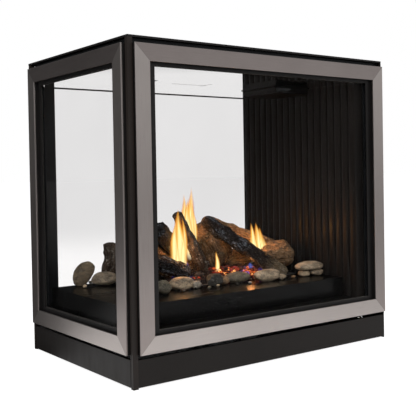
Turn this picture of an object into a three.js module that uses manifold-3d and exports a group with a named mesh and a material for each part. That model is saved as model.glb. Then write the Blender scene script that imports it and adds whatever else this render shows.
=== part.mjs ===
// A see-through gas fireplace, glazed on its front, left end and back, with a closed right end.
// Millimetres, Z up. X runs along the front from the glazed end, Y runs from the front to the back.
import * as THREE from "three";
import { mergeVertices } from "three/addons/utils/BufferGeometryUtils.js";
import Module from "manifold-3d";

const wasm = await Module();
wasm.setup();

// Overall body
const bodyWidth = 1080;
const bodyDepth = 690;
const bodyHeight = 1020;

// Shared sheet, seats and cuts
const sheet = 2;
const seatGap = 0.3;
const runGap = 0.6;
const overrun = 4;

// Sides of round things
const hexSides = 6;
const probeSides = 8;
const pinSides = 12;
const hoodSides = 16;
const pipeSides = 20;
const tubeSides = 24;
const ventSides = 32;
const arcSteps = 4;
const weld = 0.001;

// Corner posts
const postWidth = 17;
const postStep = 3;
const postLap = 14;
const ribTop = 11;
const ribBottom = 7.5;
const ribDepth = 1.5;
const postRound = 2.5;
const postBore = 5.5;

// Closed right end
const endSheet = 1.5;
const endLip = 4.4;
const endLipDepth = 11;
const gasHoleRadius = 20;

// Top casing
const topRim = 6;
const headerHeight = 16;

// Steel door facings
const trimBottom = 98;
const trimWidth = 51;
const trimProud = 12;
const trimThick = 5;
const trimSheet = 1.5;
const trimBevel = 0.8;
const trimSideGap = 1;

// Door frames behind the facings
const frameInset = 1;
const glassSetback = 15;
const stileBorder = 24;
const railBorder = 11;
const frameBackDepth = 24;

// Glass and its rope gasket
const glassThick = 5;
const glassLap = 20;
const gasketWidth = 10;
const gasketThick = 6;
const gasketInset = 3;

// Access panels under the doors
const panelBottom = 4;
const panelTop = 84;
const panelFace = 0.5;
const panelSheet = 1.5;
const panelReturn = 10;
const pivotDepth = 6.5;
const pivotHeight = 9;
const pivotRadius = 1.8;
const pivotClearance = 0.4;
const panelStepBack = 14;

// Base pan
const panRim = 14;

// Firebox
const floorTop = 156;
const openingMargin = 2;
const endWallInset = 78;
const surroundBottom = 100;

// Fluted end liner
const linerStandOff = 32;
const linerSheet = 2;
const fluteCount = 18;
const fluteRise = 8;
const fluteGroove = 4;
const grooveDepth = 2.5;
const fluteSteps = 5;
const linerEdgeGap = 7;
const linerLip = 6;

// Vent, set in from the firebox end wall
const ventSetIn = 136;
const innerVentRadius = 63.5;
const outerVentRadius = 101.5;
const ventSheet = 1.5;
const ventFlange = 14;
const ventRise = 30;

// Exhaust baffle
const baffleWidth = 160;
const baffleDepth = 190;
const baffleDrop = 22;
const baffleFoot = 12;

// Relief openings and their flaps in the ceiling
const flapShares = [0.2144, 0.4586];
const flapWidth = 170;
const flapDepth = 90;
const reliefMargin = 10;
const flapBarrel = 3;
const flapPin = 1.5;
const flapEar = 4;
const flapEarHeight = 12;

// Raised media platform
const platformInset = 88;
const platformLeft = 30;
const platformTop = 225;
const platformRound = 12;
const platformRightGap = 0.5;

// Burner pan, as shares of the platform, and its mixer tube
const burnerAcrossShare = 0.6226;
const burnerBackShare = 0.5584;
const burnerWidthShare = 0.6012;
const burnerDepthShare = 0.3307;
const burnerFall = 30;
const burnerRim = 10;
const burnerSheet = 1.5;
const mixerRadius = 16;
const mixerBottom = 100;
const mixerWall = 1.5;
const mixerCap = 2;
const portBottom = 108;
const portTop = 120;
const portWidth = 14;
const mixerCollar = 3;

// Air shutter on the mixer tube
const shutterClearance = 0.4;
const shutterWall = 1.4;
const shutterBottom = 102.4;
const shutterTop = 122.4;
const shutterTab = 13;
const shutterTabThick = 3;

// Ember bed, as heights above the platform
const bedCrest = 37;
const bedEdge = 1;
const bedLump = 4;
const bedLumpWaves = { across: 17, along: 7, skew: 3 };
const bedRounding = 3;
const bedFalloff = 4;
const bedSquareness = 10;
const bedSectors = 44;
const bedRingShares = [1, 0.86, 0.7, 0.54, 0.38, 0.22, 0.08];

// Controls behind the front access panel
const bracketFront = 60;
const bracketLeft = 200;
const bracketRight = 520;
const bracketTop = 100;
const bracketFoot = 40;
const bracketSheet = 1.5;
const controlHeight = 63;
const valveShift = 35;
const valveWidth = 100;
const valveDepth = 68;
const valveBottom = 28;
const valveHeight = 70;
const valveChamfer = 11.6;
const nutLength = 12;
const inletNutShare = 1.6;
const outletNutShare = 1.8;
const pilotKnobShift = 62;
const flameKnobShift = 108;
const knobRadius = 16;
const knobLength = 22;
const knobFlutes = 10;
const knobFluteDepth = 1.2;
const pointerShare = 0.8;
const spindleRadius = 3;
const spindleLength = 22;
const spindleClearance = 0.35;
const bossRadius = 7;
const igniterShift = 172;
const igniterRadius = 6;
const igniterBezel = 11;
const igniterReach = 12;
const igniterDepth = 24;
const igniterClearance = 0.4;
const rockerShift = 232;
const rockerWidth = 18;
const rockerHeight = 26;
const rockerClearance = 0.5;
const rockerBezel = 4;
const rockerBoxDepth = 26;
const rockerTilt = 10;
const rockerReachShare = 0.44;
const rockerBackShare = 0.36;
const rockerShoulderShare = 0.2;
const rockerNarrowShare = 0.9;
const bezelProud = 3;

// Gas line
const shutoffSetIn = 118;
const shutoffY = 120;
const shutoffZ = 45;
const shutoffRadius = 14;
const shutoffHalf = 36;
const shutoffHexShare = 0.9;
const shutoffBallShare = 0.8;
const spindleBossShare = 1.6;
const inletRadius = 10.5;
const inletBore = 7;
const leverLength = 56;
const leverWidth = 12;
const leverThick = 3;
const leverSpindle = 5;
const gasTubeRadius = 6;
const burnerTubeRadius = 4;
const burnerTubeBend = 20;
const bendShares = { low: 1.2, start: 1.5, turn: 0.2, rise: 0.4 };
const orificeRadius = 8;
const orificeHeight = 22;
const orificeHexShare = 0.6;
const orificeNeckShare = 0.75;

// Pilot
const pilotShift = 30;
const pilotSetBack = 62;
const pilotWidth = 46;
const pilotDepth = 24;
const pilotHeight = 42;
const pilotHoodRadius = 7;
const pilotProbeRadius = 2;
const probeShare = 0.9;
const hoodMouthShares = [0.2, 0.4];

// Places worked out from the sizes above
const trimTop = bodyHeight - topRim - headerHeight;
const seatDepth = postWidth + seatGap;
const surroundInner = seatDepth + sheet;
const openLeft = postWidth + trimSideGap + trimWidth + stileBorder - openingMargin;
const openRight = bodyWidth - endLip - trimSideGap - trimWidth - stileBorder + openingMargin;
const openBottom = trimBottom + trimWidth + railBorder - openingMargin;
const openTop = trimTop - trimWidth - railBorder + openingMargin;
const endWallX = bodyWidth - endWallInset;
const linerX = endWallX - linerStandOff;
const linerFace = linerX - fluteRise;
const ceilingBottom = openTop;
const ceilingTop = ceilingBottom + sheet;
const postTop = bodyHeight - topRim - seatGap;
const middleY = bodyDepth / 2;
const ventX = endWallX - ventSetIn;
const flapCentres = flapShares.map((share) => surroundInner + share * (endWallX - surroundInner));
const shutoffX = bodyWidth - shutoffSetIn;
const valveLeft = bracketLeft + valveShift;
const pilotKnobX = bracketLeft + pilotKnobShift;
const flameKnobX = bracketLeft + flameKnobShift;
const igniterX = bracketLeft + igniterShift;
const rockerX = bracketLeft + rockerShift;
const platformRight = linerFace - platformRightGap;
const platformWidth = platformRight - platformLeft;
const platformDepth = bodyDepth - platformInset * 2;
const burnerX = platformLeft + burnerAcrossShare * platformWidth;
const burnerY = platformInset + burnerBackShare * platformDepth;
const burnerWidth = burnerWidthShare * platformWidth;
const burnerDepth = burnerDepthShare * platformDepth;
const rimFront = burnerY - burnerDepth / 2 - burnerRim;
const pilotX = burnerX + pilotShift;
const pilotY = burnerY + burnerDepth / 2 + pilotSetBack;

const steelFace = { color: 0x8f8683, roughness: 0.35, metalness: 0.9 };
const blackPaint = { color: 0x1d1a19, roughness: 0.55, metalness: 0.3 };
const brownPaint = { color: 0x332d2b, roughness: 0.5, metalness: 0.3 };
const linerBlack = { color: 0x191715, roughness: 0.45, metalness: 0.2 };
const glossBlack = { color: 0x0b0b0c, roughness: 0.1, metalness: 0 };
const polished = { color: 0xc8c8c8, roughness: 0.08, metalness: 1 };
const galvanised = { color: 0x9a9d9f, roughness: 0.4, metalness: 0.8 };
const aluminium = { color: 0xb4b5b7, roughness: 0.4, metalness: 0.9 };
const brass = { color: 0xb08d45, roughness: 0.35, metalness: 0.9 };
const ceramicGlass = { color: 0xe8eceb, roughness: 0.05, metalness: 0, transparent: true, opacity: 0.15 };
const rope = { color: 0x4a4744, roughness: 0.95, metalness: 0 };
const knobPlastic = { color: 0x141414, roughness: 0.4, metalness: 0 };
const redPlastic = { color: 0x8c1a14, roughness: 0.35, metalness: 0 };
const emberMedia = { color: 0x3a1a12, roughness: 0.9, metalness: 0 };
const charredLog = { color: 0x1e1d1e, roughness: 0.9, metalness: 0 };
const brownLog = { color: 0x5b3a22, roughness: 0.9, metalness: 0 };
const barkLog = { color: 0x3d2a1f, roughness: 0.9, metalness: 0 };
const greyStone = { color: 0x7d7464, roughness: 0.6, metalness: 0 };
const tanStone = { color: 0x9c8468, roughness: 0.6, metalness: 0 };

// A closed geometry as a solid that can be joined and cut
function solidOf(geometry) {
  const plain = geometry.index ? geometry.toNonIndexed() : geometry.clone();
  plain.deleteAttribute("normal");
  plain.deleteAttribute("uv");
  const merged = mergeVertices(plain, weld);
  return new wasm.Manifold(
    new wasm.Mesh({
      numProp: 3,
      vertProperties: merged.attributes.position.array,
      triVerts: new Uint32Array(merged.index.array),
    }),
  );
}

// A solid back as a geometry
function geometryOf(solid) {
  const made = solid.getMesh();
  const geometry = new THREE.BufferGeometry();
  geometry.setAttribute("position", new THREE.BufferAttribute(Float32Array.from(made.vertProperties), 3));
  geometry.setIndex(new THREE.BufferAttribute(Uint32Array.from(made.triVerts), 1));
  geometry.computeVertexNormals();
  return geometry;
}

const join = (first, ...others) =>
  geometryOf(others.reduce((whole, other) => whole.add(solidOf(other)), solidOf(first)));

const cut = (first, ...tools) =>
  geometryOf(tools.reduce((left, tool) => left.subtract(solidOf(tool)), solidOf(first)));

const part = (name, geometry, finish) => {
  const mesh = new THREE.Mesh(geometry, new THREE.MeshStandardMaterial(finish));
  mesh.name = name;
  return mesh;
};

// A rectangular block between two corners
function block([x0, y0, z0], [x1, y1, z1]) {
  const geometry = new THREE.BoxGeometry(x1 - x0, y1 - y0, z1 - z0);
  return geometry.translate((x0 + x1) / 2, (y0 + y1) / 2, (z0 + z1) / 2);
}

// A round bar that starts at a point and runs along an axis
function bar(axis, [x, y, z], length, radius, sides = hoodSides) {
  const geometry = new THREE.CylinderGeometry(radius, radius, length, sides).translate(0, length / 2, 0);
  if (axis === "x") geometry.rotateZ(-Math.PI / 2);
  if (axis === "z") geometry.rotateX(Math.PI / 2);
  return geometry.translate(x, y, z);
}

const extruded = (depth) => ({ depth, bevelEnabled: false, curveSegments: arcSteps });

// An outline in X and Y, drawn upwards
function upright(shape, bottom, top) {
  const geometry = new THREE.ExtrudeGeometry(shape, extruded(top - bottom));
  return geometry.translate(0, 0, bottom);
}

// An outline in X and Z, drawn from the front to the back
function frontToBack(shape, front, back) {
  const geometry = new THREE.ExtrudeGeometry(shape, extruded(back - front));
  return geometry.rotateX(Math.PI / 2).translate(0, back, 0);
}

// An outline in Y and Z, drawn along X
function sideways(shape, left, right) {
  const geometry = new THREE.ExtrudeGeometry(shape, extruded(right - left));
  const turn = new THREE.Matrix4().makeBasis(
    new THREE.Vector3(0, 1, 0),
    new THREE.Vector3(0, 0, 1),
    new THREE.Vector3(1, 0, 0),
  );
  return geometry.applyMatrix4(turn).translate(left, 0, 0);
}

// The section of a bent sheet, with its thickness to the left of the path
function folded(path, thickness) {
  const line = path.map(([x, y]) => new THREE.Vector2(x, y));
  const inner = line.map((point, i) => {
    const before = i > 0 ? point.clone().sub(line[i - 1]).normalize() : null;
    const after = i < line.length - 1 ? line[i + 1].clone().sub(point).normalize() : null;
    const first = before ?? after;
    const second = after ?? before;
    const middle = new THREE.Vector2(-first.y - second.y, first.x + second.x).normalize();
    const reach = thickness / (middle.y * first.x - middle.x * first.y);
    return point.clone().addScaledVector(middle, reach);
  });
  return new THREE.Shape([...line, ...inner.reverse()]);
}

// A rectangle with round corners
function roundedRectangle(x0, y0, x1, y1, radius) {
  const shape = new THREE.Shape();
  shape.moveTo(x0 + radius, y0);
  shape.lineTo(x1 - radius, y0);
  shape.absarc(x1 - radius, y0 + radius, radius, -Math.PI / 2, 0);
  shape.lineTo(x1, y1 - radius);
  shape.absarc(x1 - radius, y1 - radius, radius, 0, Math.PI / 2);
  shape.lineTo(x0 + radius, y1);
  shape.absarc(x0 + radius, y1 - radius, radius, Math.PI / 2, Math.PI);
  shape.lineTo(x0, y0 + radius);
  shape.absarc(x0 + radius, y0 + radius, radius, Math.PI, Math.PI * 1.5);
  return shape;
}

// A closed surface through rings of points, with a flat fan at each end
function loft(rings) {
  const count = rings[0].length;
  const middleOf = (ring) =>
    ring.reduce((sum, point) => sum.add(point), new THREE.Vector3()).divideScalar(count);
  const corners = [];
  const face = (...points) => points.forEach((point) => corners.push(...point.toArray()));
  rings.slice(1).forEach((ring, i) => {
    ring.forEach((point, j) => {
      const next = (j + 1) % count;
      face(rings[i][j], rings[i][next], ring[next]);
      face(rings[i][j], ring[next], point);
    });
  });
  const first = rings[0];
  const last = rings[rings.length - 1];
  const firstMiddle = middleOf(first);
  const lastMiddle = middleOf(last);
  first.forEach((point, j) => face(first[(j + 1) % count], point, firstMiddle));
  last.forEach((point, j) => face(point, last[(j + 1) % count], lastMiddle));
  const geometry = new THREE.BufferGeometry();
  geometry.setAttribute("position", new THREE.BufferAttribute(facingOut(corners), 3));
  return geometry;
}

// Triangles turned over where they enclose a negative volume
function facingOut(corners) {
  const at = (i) => new THREE.Vector3(...corners.slice(i, i + 3));
  let volume = 0;
  for (let i = 0; i < corners.length; i += 9) {
    volume += at(i).dot(at(i + 3).cross(at(i + 6)));
  }
  const turned = Float32Array.from(corners);
  if (volume > 0) return turned;
  for (let i = 0; i < corners.length; i += 9) {
    turned.set(corners.slice(i + 3, i + 6), i + 6);
    turned.set(corners.slice(i + 6, i + 9), i + 3);
  }
  return turned;
}

// A section carried round a rectangle with mitred corners: u is across, v is up, depth goes inwards.
// Each point of the section gives its inset on the stiles, its inset on the rails and its depth.
function mitredFrame([u0, v0, u1, v1], section) {
  const corners = [
    [u0, v0, 1, 1],
    [u1, v0, -1, 1],
    [u1, v1, -1, -1],
    [u0, v1, 1, -1],
  ];
  const rings = corners.map(([u, v, right, up]) =>
    section.map(([stile, rail, depth]) => new THREE.Vector3(u + right * stile, depth, v + up * rail)),
  );
  const faces = [];
  const face = (...points) => points.forEach((point) => faces.push(...point.toArray()));
  rings.forEach((ring, k) => {
    const nextRing = rings[(k + 1) % rings.length];
    ring.forEach((point, i) => {
      const next = (i + 1) % ring.length;
      face(point, ring[next], nextRing[next]);
      face(point, nextRing[next], nextRing[i]);
    });
  });
  const geometry = new THREE.BufferGeometry();
  geometry.setAttribute("position", new THREE.BufferAttribute(facingOut(faces), 3));
  return geometry;
}

// The plan section of a corner post, hollow, with a rolled rib on its end face
function postSection() {
  const shape = new THREE.Shape();
  shape.moveTo(postRound, 0);
  shape.lineTo(postWidth, 0);
  shape.lineTo(postWidth, postWidth);
  shape.lineTo(postStep, postWidth);
  shape.lineTo(postStep, postLap);
  shape.lineTo(0, postLap);
  shape.lineTo(0, ribTop);
  shape.lineTo(ribDepth, ribTop - ribDepth);
  shape.lineTo(ribDepth, ribBottom + ribDepth);
  shape.lineTo(0, ribBottom);
  shape.lineTo(0, postRound);
  shape.absarc(postRound, postRound, postRound, Math.PI, Math.PI * 1.5);
  const hollow = new THREE.Path();
  hollow.moveTo(postBore, sheet);
  hollow.lineTo(postBore, postWidth - sheet);
  hollow.lineTo(postWidth - sheet, postWidth - sheet);
  hollow.lineTo(postWidth - sheet, sheet);
  hollow.closePath();
  shape.holes.push(hollow);
  return shape;
}

function cornerPost(name, atBack) {
  const start = postWidth - sheet - overrun;
  const reach = sheet + overrun * 2;
  const radius = pivotRadius + pivotClearance;
  const post = cut(
    upright(postSection(), 0, postTop),
    bar("x", [start, pivotDepth, pivotHeight], reach, radius, pinSides),
    bar("y", [pivotDepth, start, pivotHeight], reach, radius, pinSides),
  );
  if (!atBack) return part(name, post, brownPaint);
  const mirrored = geometryOf(solidOf(post).mirror([0, 1, 0]));
  return part(name, mirrored.translate(0, bodyDepth, 0), brownPaint);
}

function basePan() {
  const left = seatDepth;
  const right = bodyWidth - endSheet - seatGap;
  const front = panelStepBack;
  const back = bodyDepth - panelStepBack;
  const pan = cut(
    block([left, front, 0], [right, back, panRim]),
    block([left + sheet, front + sheet, sheet], [right - sheet, back - sheet, panRim + overrun]),
  );
  return part("base_pan", pan, galvanised);
}

function endPanel() {
  const lipX = bodyWidth - endLip;
  const section = folded(
    [
      [lipX, endLipDepth],
      [lipX, 0],
      [bodyWidth, 0],
      [bodyWidth, bodyDepth],
      [lipX, bodyDepth],
      [lipX, bodyDepth - endLipDepth],
    ],
    endSheet,
  );
  const start = bodyWidth - endSheet - overrun / 4;
  const through = endSheet + overrun;
  const radius = pivotRadius + pivotClearance;
  const lipStart = lipX - overrun / 4;
  const lipReach = endSheet + overrun / 2;
  const panel = cut(
    upright(section, 0, postTop),
    bar("x", [start, shutoffY, shutoffZ], through, gasHoleRadius, tubeSides),
    bar("x", [lipStart, pivotDepth, pivotHeight], lipReach, radius, pinSides),
    bar("x", [lipStart, bodyDepth - pivotDepth, pivotHeight], lipReach, radius, pinSides),
  );
  return part("end_panel", panel, blackPaint);
}

function topCasing() {
  const rimFoot = bodyHeight - topRim;
  const casing = cut(
    block([0, 0, rimFoot], [bodyWidth, bodyDepth, bodyHeight]),
    block([sheet, sheet, rimFoot - overrun], [bodyWidth - sheet, bodyDepth - sheet, bodyHeight - sheet]),
    bar("z", [ventX, middleY, rimFoot], topRim + overrun, outerVentRadius - ventFlange / 2, ventSides),
  );
  return part("top_casing", casing, blackPaint);
}

// A flanged collar: a turned sheet section about the vent axis
function ventCollar(name, radius, bottom, top) {
  const profile = [
    [radius - ventSheet, bottom],
    [radius + ventFlange, bottom],
    [radius + ventFlange, bottom + ventSheet],
    [radius, bottom + ventSheet],
    [radius, top],
    [radius - ventSheet, top],
    [radius - ventSheet, bottom],
  ].map(([x, y]) => new THREE.Vector2(x, y));
  const collar = new THREE.LatheGeometry(profile, ventSides).rotateX(Math.PI / 2);
  return part(name, solidified(collar).translate(ventX, middleY, 0), galvanised);
}

// A turned geometry with its seam closed and its faces outwards
function solidified(geometry) {
  const plain = geometry.index ? geometry.toNonIndexed() : geometry;
  const corners = [];
  const position = plain.attributes.position.array;
  for (let i = 0; i < position.length; i += 9) {
    const a = new THREE.Vector3(...position.slice(i, i + 3));
    const b = new THREE.Vector3(...position.slice(i + 3, i + 6));
    const c = new THREE.Vector3(...position.slice(i + 6, i + 9));
    const flat = a.distanceTo(b) < weld || b.distanceTo(c) < weld || c.distanceTo(a) < weld;
    if (!flat) corners.push(...a.toArray(), ...b.toArray(), ...c.toArray());
  }
  const closed = new THREE.BufferGeometry();
  closed.setAttribute("position", new THREE.BufferAttribute(facingOut(corners), 3));
  return closed;
}

// A turned body: pairs of radius and height, closed on its axis
function turned(points, sides = hoodSides) {
  const profile = points.map(([radius, height]) => new THREE.Vector2(radius, height));
  return solidified(new THREE.LatheGeometry(profile, sides).rotateX(Math.PI / 2));
}

// The fixed sheet surround that the three doors close against
function fireboxSurround() {
  const top = postTop;
  const window = (from, to) => [
    [from, openBottom],
    [to, openBottom],
    [to, openTop],
    [from, openTop],
  ];
  const plate = (left, right, from, to) => {
    const shape = new THREE.Shape(
      [
        [left, surroundBottom],
        [right, surroundBottom],
        [right, top],
        [left, top],
      ].map(([u, v]) => new THREE.Vector2(u, v)),
    );
    shape.holes.push(new THREE.Path(window(from, to).map(([u, v]) => new THREE.Vector2(u, v))));
    return shape;
  };
  const right = bodyWidth - endSheet - seatGap;
  const long = plate(seatDepth, right, openLeft, openRight);
  const short = plate(seatDepth, bodyDepth - seatDepth, openLeft, bodyDepth - openLeft);
  const surround = join(
    frontToBack(long, seatDepth, surroundInner),
    frontToBack(long, bodyDepth - surroundInner, bodyDepth - seatDepth),
    sideways(short, seatDepth, surroundInner),
  );
  return part("firebox_surround", surround, blackPaint);
}

// Firebox floor and end wall, folded from one sheet
function fireboxShell() {
  const section = folded(
    [
      [surroundInner + seatGap, floorTop - sheet],
      [endWallX + sheet, floorTop - sheet],
      [endWallX + sheet, ceilingBottom - seatGap],
    ],
    sheet,
  );
  const front = surroundInner + seatGap;
  const through = sheet + overrun * 2;
  const shell = cut(
    frontToBack(section, front, bodyDepth - front),
    bar("z", [burnerX, burnerY, floorTop - sheet - overrun], through, mixerRadius + runGap, tubeSides),
  );
  return part("firebox_shell", shell, blackPaint);
}

// Convex flutes with narrow grooves between them, and a smooth return at each end
function flutedLiner() {
  const front = surroundInner + linerEdgeGap;
  const back = bodyDepth - front;
  const faceFront = front + linerSheet;
  const pitch = (back - front - linerSheet * 2) / fluteCount;
  const wallSide = endWallX - seatGap;
  const outline = [
    [wallSide, front],
    [linerX - linerLip, front],
    [linerX - linerLip, faceFront],
  ];
  for (let flute = 0; flute < fluteCount; flute += 1) {
    const from = faceFront + flute * pitch + fluteGroove / 2;
    const to = from + pitch - fluteGroove;
    for (let step = 0; step <= fluteSteps; step += 1) {
      const turn = (Math.PI * step) / fluteSteps;
      const y = (from + to) / 2 - (Math.cos(turn) * (to - from)) / 2;
      outline.push([linerX - Math.sin(turn) * fluteRise, y]);
    }
    if (flute < fluteCount - 1) outline.push([linerX + grooveDepth, to + fluteGroove / 2]);
  }
  outline.push(
    [linerX - linerLip, back - linerSheet],
    [linerX - linerLip, back],
    [wallSide, back],
    [wallSide, back - linerSheet],
    [linerX + grooveDepth + linerSheet, back - linerSheet],
    [linerX + grooveDepth + linerSheet, faceFront],
    [wallSide, faceFront],
  );
  const shape = new THREE.Shape(outline.map(([x, y]) => new THREE.Vector2(x, y)));
  return part("end_liner_fluted", upright(shape, floorTop + seatGap, ceilingBottom - seatGap), linerBlack);
}

function flapHinge(centre) {
  const axisY = middleY - flapDepth / 2;
  const axisZ = ceilingTop + seatGap + flapBarrel;
  return { left: centre - flapWidth / 2, right: centre + flapWidth / 2, axisY, axisZ };
}

function fireboxCeiling() {
  const front = surroundInner + seatGap;
  const through = sheet + overrun * 2;
  const earThrough = flapEar + overrun * 2;
  let ceiling = cut(
    block([front, front, ceilingBottom], [endWallX + sheet, bodyDepth - front, ceilingTop]),
    bar("z", [ventX, middleY, ceilingBottom - overrun], through, innerVentRadius - ventSheet, ventSides),
  );
  flapCentres.forEach((centre) => {
    const { left, right, axisY, axisZ } = flapHinge(centre);
    const hole = block(
      [left + reliefMargin, axisY + reliefMargin, ceilingBottom - overrun],
      [right - reliefMargin, axisY + flapDepth - reliefMargin, ceilingTop + overrun],
    );
    ceiling = cut(ceiling, hole);
    [left - runGap - flapEar, right + runGap].forEach((earLeft) => {
      const ear = cut(
        block(
          [earLeft, axisY - flapBarrel, ceilingBottom],
          [earLeft + flapEar, axisY + flapBarrel, ceilingTop + flapEarHeight],
        ),
        bar("x", [earLeft - overrun, axisY, axisZ], earThrough, flapPin + shutterClearance, pinSides),
      );
      ceiling = join(ceiling, ear);
    });
  });
  return part("firebox_ceiling", ceiling, polished);
}

function reliefFlap(name, centre) {
  const { left, right, axisY, axisZ } = flapHinge(centre);
  const bottom = axisZ - flapBarrel;
  const flap = join(
    block([left, axisY, bottom], [right, axisY + flapDepth, bottom + sheet]),
    bar("x", [left, axisY, axisZ], flapWidth, flapBarrel, pinSides),
    bar("x", [left - runGap - flapEar, axisY, axisZ], flapWidth + (runGap + flapEar) * 2, flapPin, pinSides),
  );
  return part(name, flap, galvanised);
}

function exhaustBaffle() {
  const left = ventX - baffleWidth / 2;
  const right = ventX + baffleWidth / 2;
  const top = ceilingBottom - seatGap;
  const section = folded(
    [
      [left - baffleFoot, top],
      [left, top],
      [left, top - baffleDrop],
      [right, top - baffleDrop],
      [right, top],
      [right + baffleFoot, top],
    ],
    -sheet,
  );
  const baffle = frontToBack(section, middleY - baffleDepth / 2, middleY + baffleDepth / 2);
  return part("exhaust_baffle", baffle, linerBlack);
}

function mediaPlatform() {
  const left = platformLeft;
  const right = platformRight;
  const front = platformInset;
  const back = bodyDepth - platformInset;
  const bottom = floorTop + seatGap;
  const [x0, y0, x1, y1] = burnerHole();
  const platform = cut(
    upright(roundedRectangle(left, front, right, back, platformRound), bottom, platformTop),
    upright(
      roundedRectangle(left + sheet, front + sheet, right - sheet, back - sheet, platformRound - sheet),
      bottom - overrun,
      platformTop - sheet,
    ),
    block([x0, y0, platformTop - sheet - overrun], [x1, y1, platformTop + overrun]),
  );
  return part("media_platform", platform, glossBlack);
}

// The hole in the platform, round the burner pan
function burnerHole() {
  const halfWidth = burnerWidth / 2 + seatGap;
  const halfDepth = burnerDepth / 2 + seatGap;
  return [burnerX - halfWidth, burnerY - halfDepth, burnerX + halfWidth, burnerY + halfDepth];
}

// Burner pan with its rim on the platform, welded to the mixer tube below
function burnerAssembly() {
  const left = burnerX - burnerWidth / 2;
  const right = burnerX + burnerWidth / 2;
  const front = burnerY - burnerDepth / 2;
  const back = burnerY + burnerDepth / 2;
  const rimBottom = platformTop + seatGap;
  const rimTop = rimBottom + burnerSheet;
  const bottom = platformTop - burnerFall;
  const portMiddle = [burnerX, burnerY, mixerBottom];
  const pan = join(
    block([left, front, bottom], [right, back, rimTop]),
    block([left - burnerRim, front - burnerRim, rimBottom], [right + burnerRim, back + burnerRim, rimTop]),
    bar("z", portMiddle, bottom - mixerBottom + burnerSheet / 2, mixerRadius, tubeSides),
    bar("z", portMiddle, mixerCap, mixerRadius + mixerCollar, tubeSides),
  );
  const bore = mixerRadius - mixerWall;
  const inlet = orificeRadius / 2 + seatGap;
  const burner = cut(
    pan,
    block(
      [left + burnerSheet, front + burnerSheet, bottom + burnerSheet],
      [right - burnerSheet, back - burnerSheet, rimTop + overrun],
    ),
    bar("z", [burnerX, burnerY, mixerBottom + mixerCap], bottom - mixerBottom, bore, tubeSides),
    bar("z", [burnerX, burnerY, mixerBottom - overrun], mixerCap + overrun * 2, inlet, pinSides),
    airPort(mixerRadius + overrun),
  );
  return part("burner_assembly", burner, galvanised);
}

// The air ports through the mixer tube and its shutter
function airPort(reach) {
  return block(
    [burnerX - reach, burnerY - portWidth / 2, portBottom],
    [burnerX + reach, burnerY + portWidth / 2, portTop],
  );
}

function airShutter() {
  const inner = mixerRadius + shutterClearance;
  const outer = inner + shutterWall;
  const height = shutterTop - shutterBottom;
  const at = [burnerX, burnerY, shutterBottom];
  const tabMiddle = (shutterBottom + shutterTop) / 2;
  const shutter = cut(
    join(
      bar("z", at, height, outer, tubeSides),
      block(
        [burnerX - shutterTabThick / 2, burnerY - outer - shutterTab, tabMiddle - shutterTabThick],
        [burnerX + shutterTabThick / 2, burnerY - inner - shutterWall / 2, tabMiddle + shutterTabThick],
      ),
    ),
    bar("z", [burnerX, burnerY, shutterBottom - overrun], height + overrun * 2, inner, tubeSides),
    airPort(outer + overrun),
  );
  return part("air_shutter", shutter, galvanised);
}

// Distance from the middle of a rounded square
const roundness = (x, y, power) => (Math.abs(x) ** power + Math.abs(y) ** power) ** (1 / power);

// Height of the ember bed: a low mound, flat at its edge, with lumps
function bedTop(x, y) {
  const across = (x - burnerX) / (burnerWidth / 2);
  const along = (y - burnerY) / (burnerDepth / 2);
  const away = Math.min(1, roundness(across, along, bedRounding));
  const wave = Math.cos(along * bedLumpWaves.along + across * bedLumpWaves.skew);
  const lumps = Math.sin(across * bedLumpWaves.across) * wave * (1 - away);
  return platformTop + bedEdge + (bedCrest - bedEdge) * (1 - away ** bedFalloff) + bedLump * lumps;
}

// Loose embers as one heap: rings of a rounded rectangle, from the pan floor up to the crest
function emberBed(grow = 0) {
  const halfWidth = burnerWidth / 2 - burnerSheet - seatGap + grow;
  const halfDepth = burnerDepth / 2 - burnerSheet - seatGap + grow;
  const point = (share, sector, z) => {
    const turn = (sector / bedSectors) * Math.PI * 2;
    const cos = Math.cos(turn);
    const sin = Math.sin(turn);
    const reach = share / roundness(cos, sin, bedSquareness);
    const x = burnerX + reach * halfWidth * cos;
    const y = burnerY + reach * halfDepth * sin;
    return new THREE.Vector3(x, y, z ?? bedTop(x, y) + grow);
  };
  const ring = (share, z) => Array.from({ length: bedSectors }, (_, sector) => point(share, sector, z));
  const bottom = platformTop - burnerFall + burnerSheet + seatGap;
  return loft([ring(1, bottom), ...bedRingShares.map((share) => ring(share))]);
}

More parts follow.
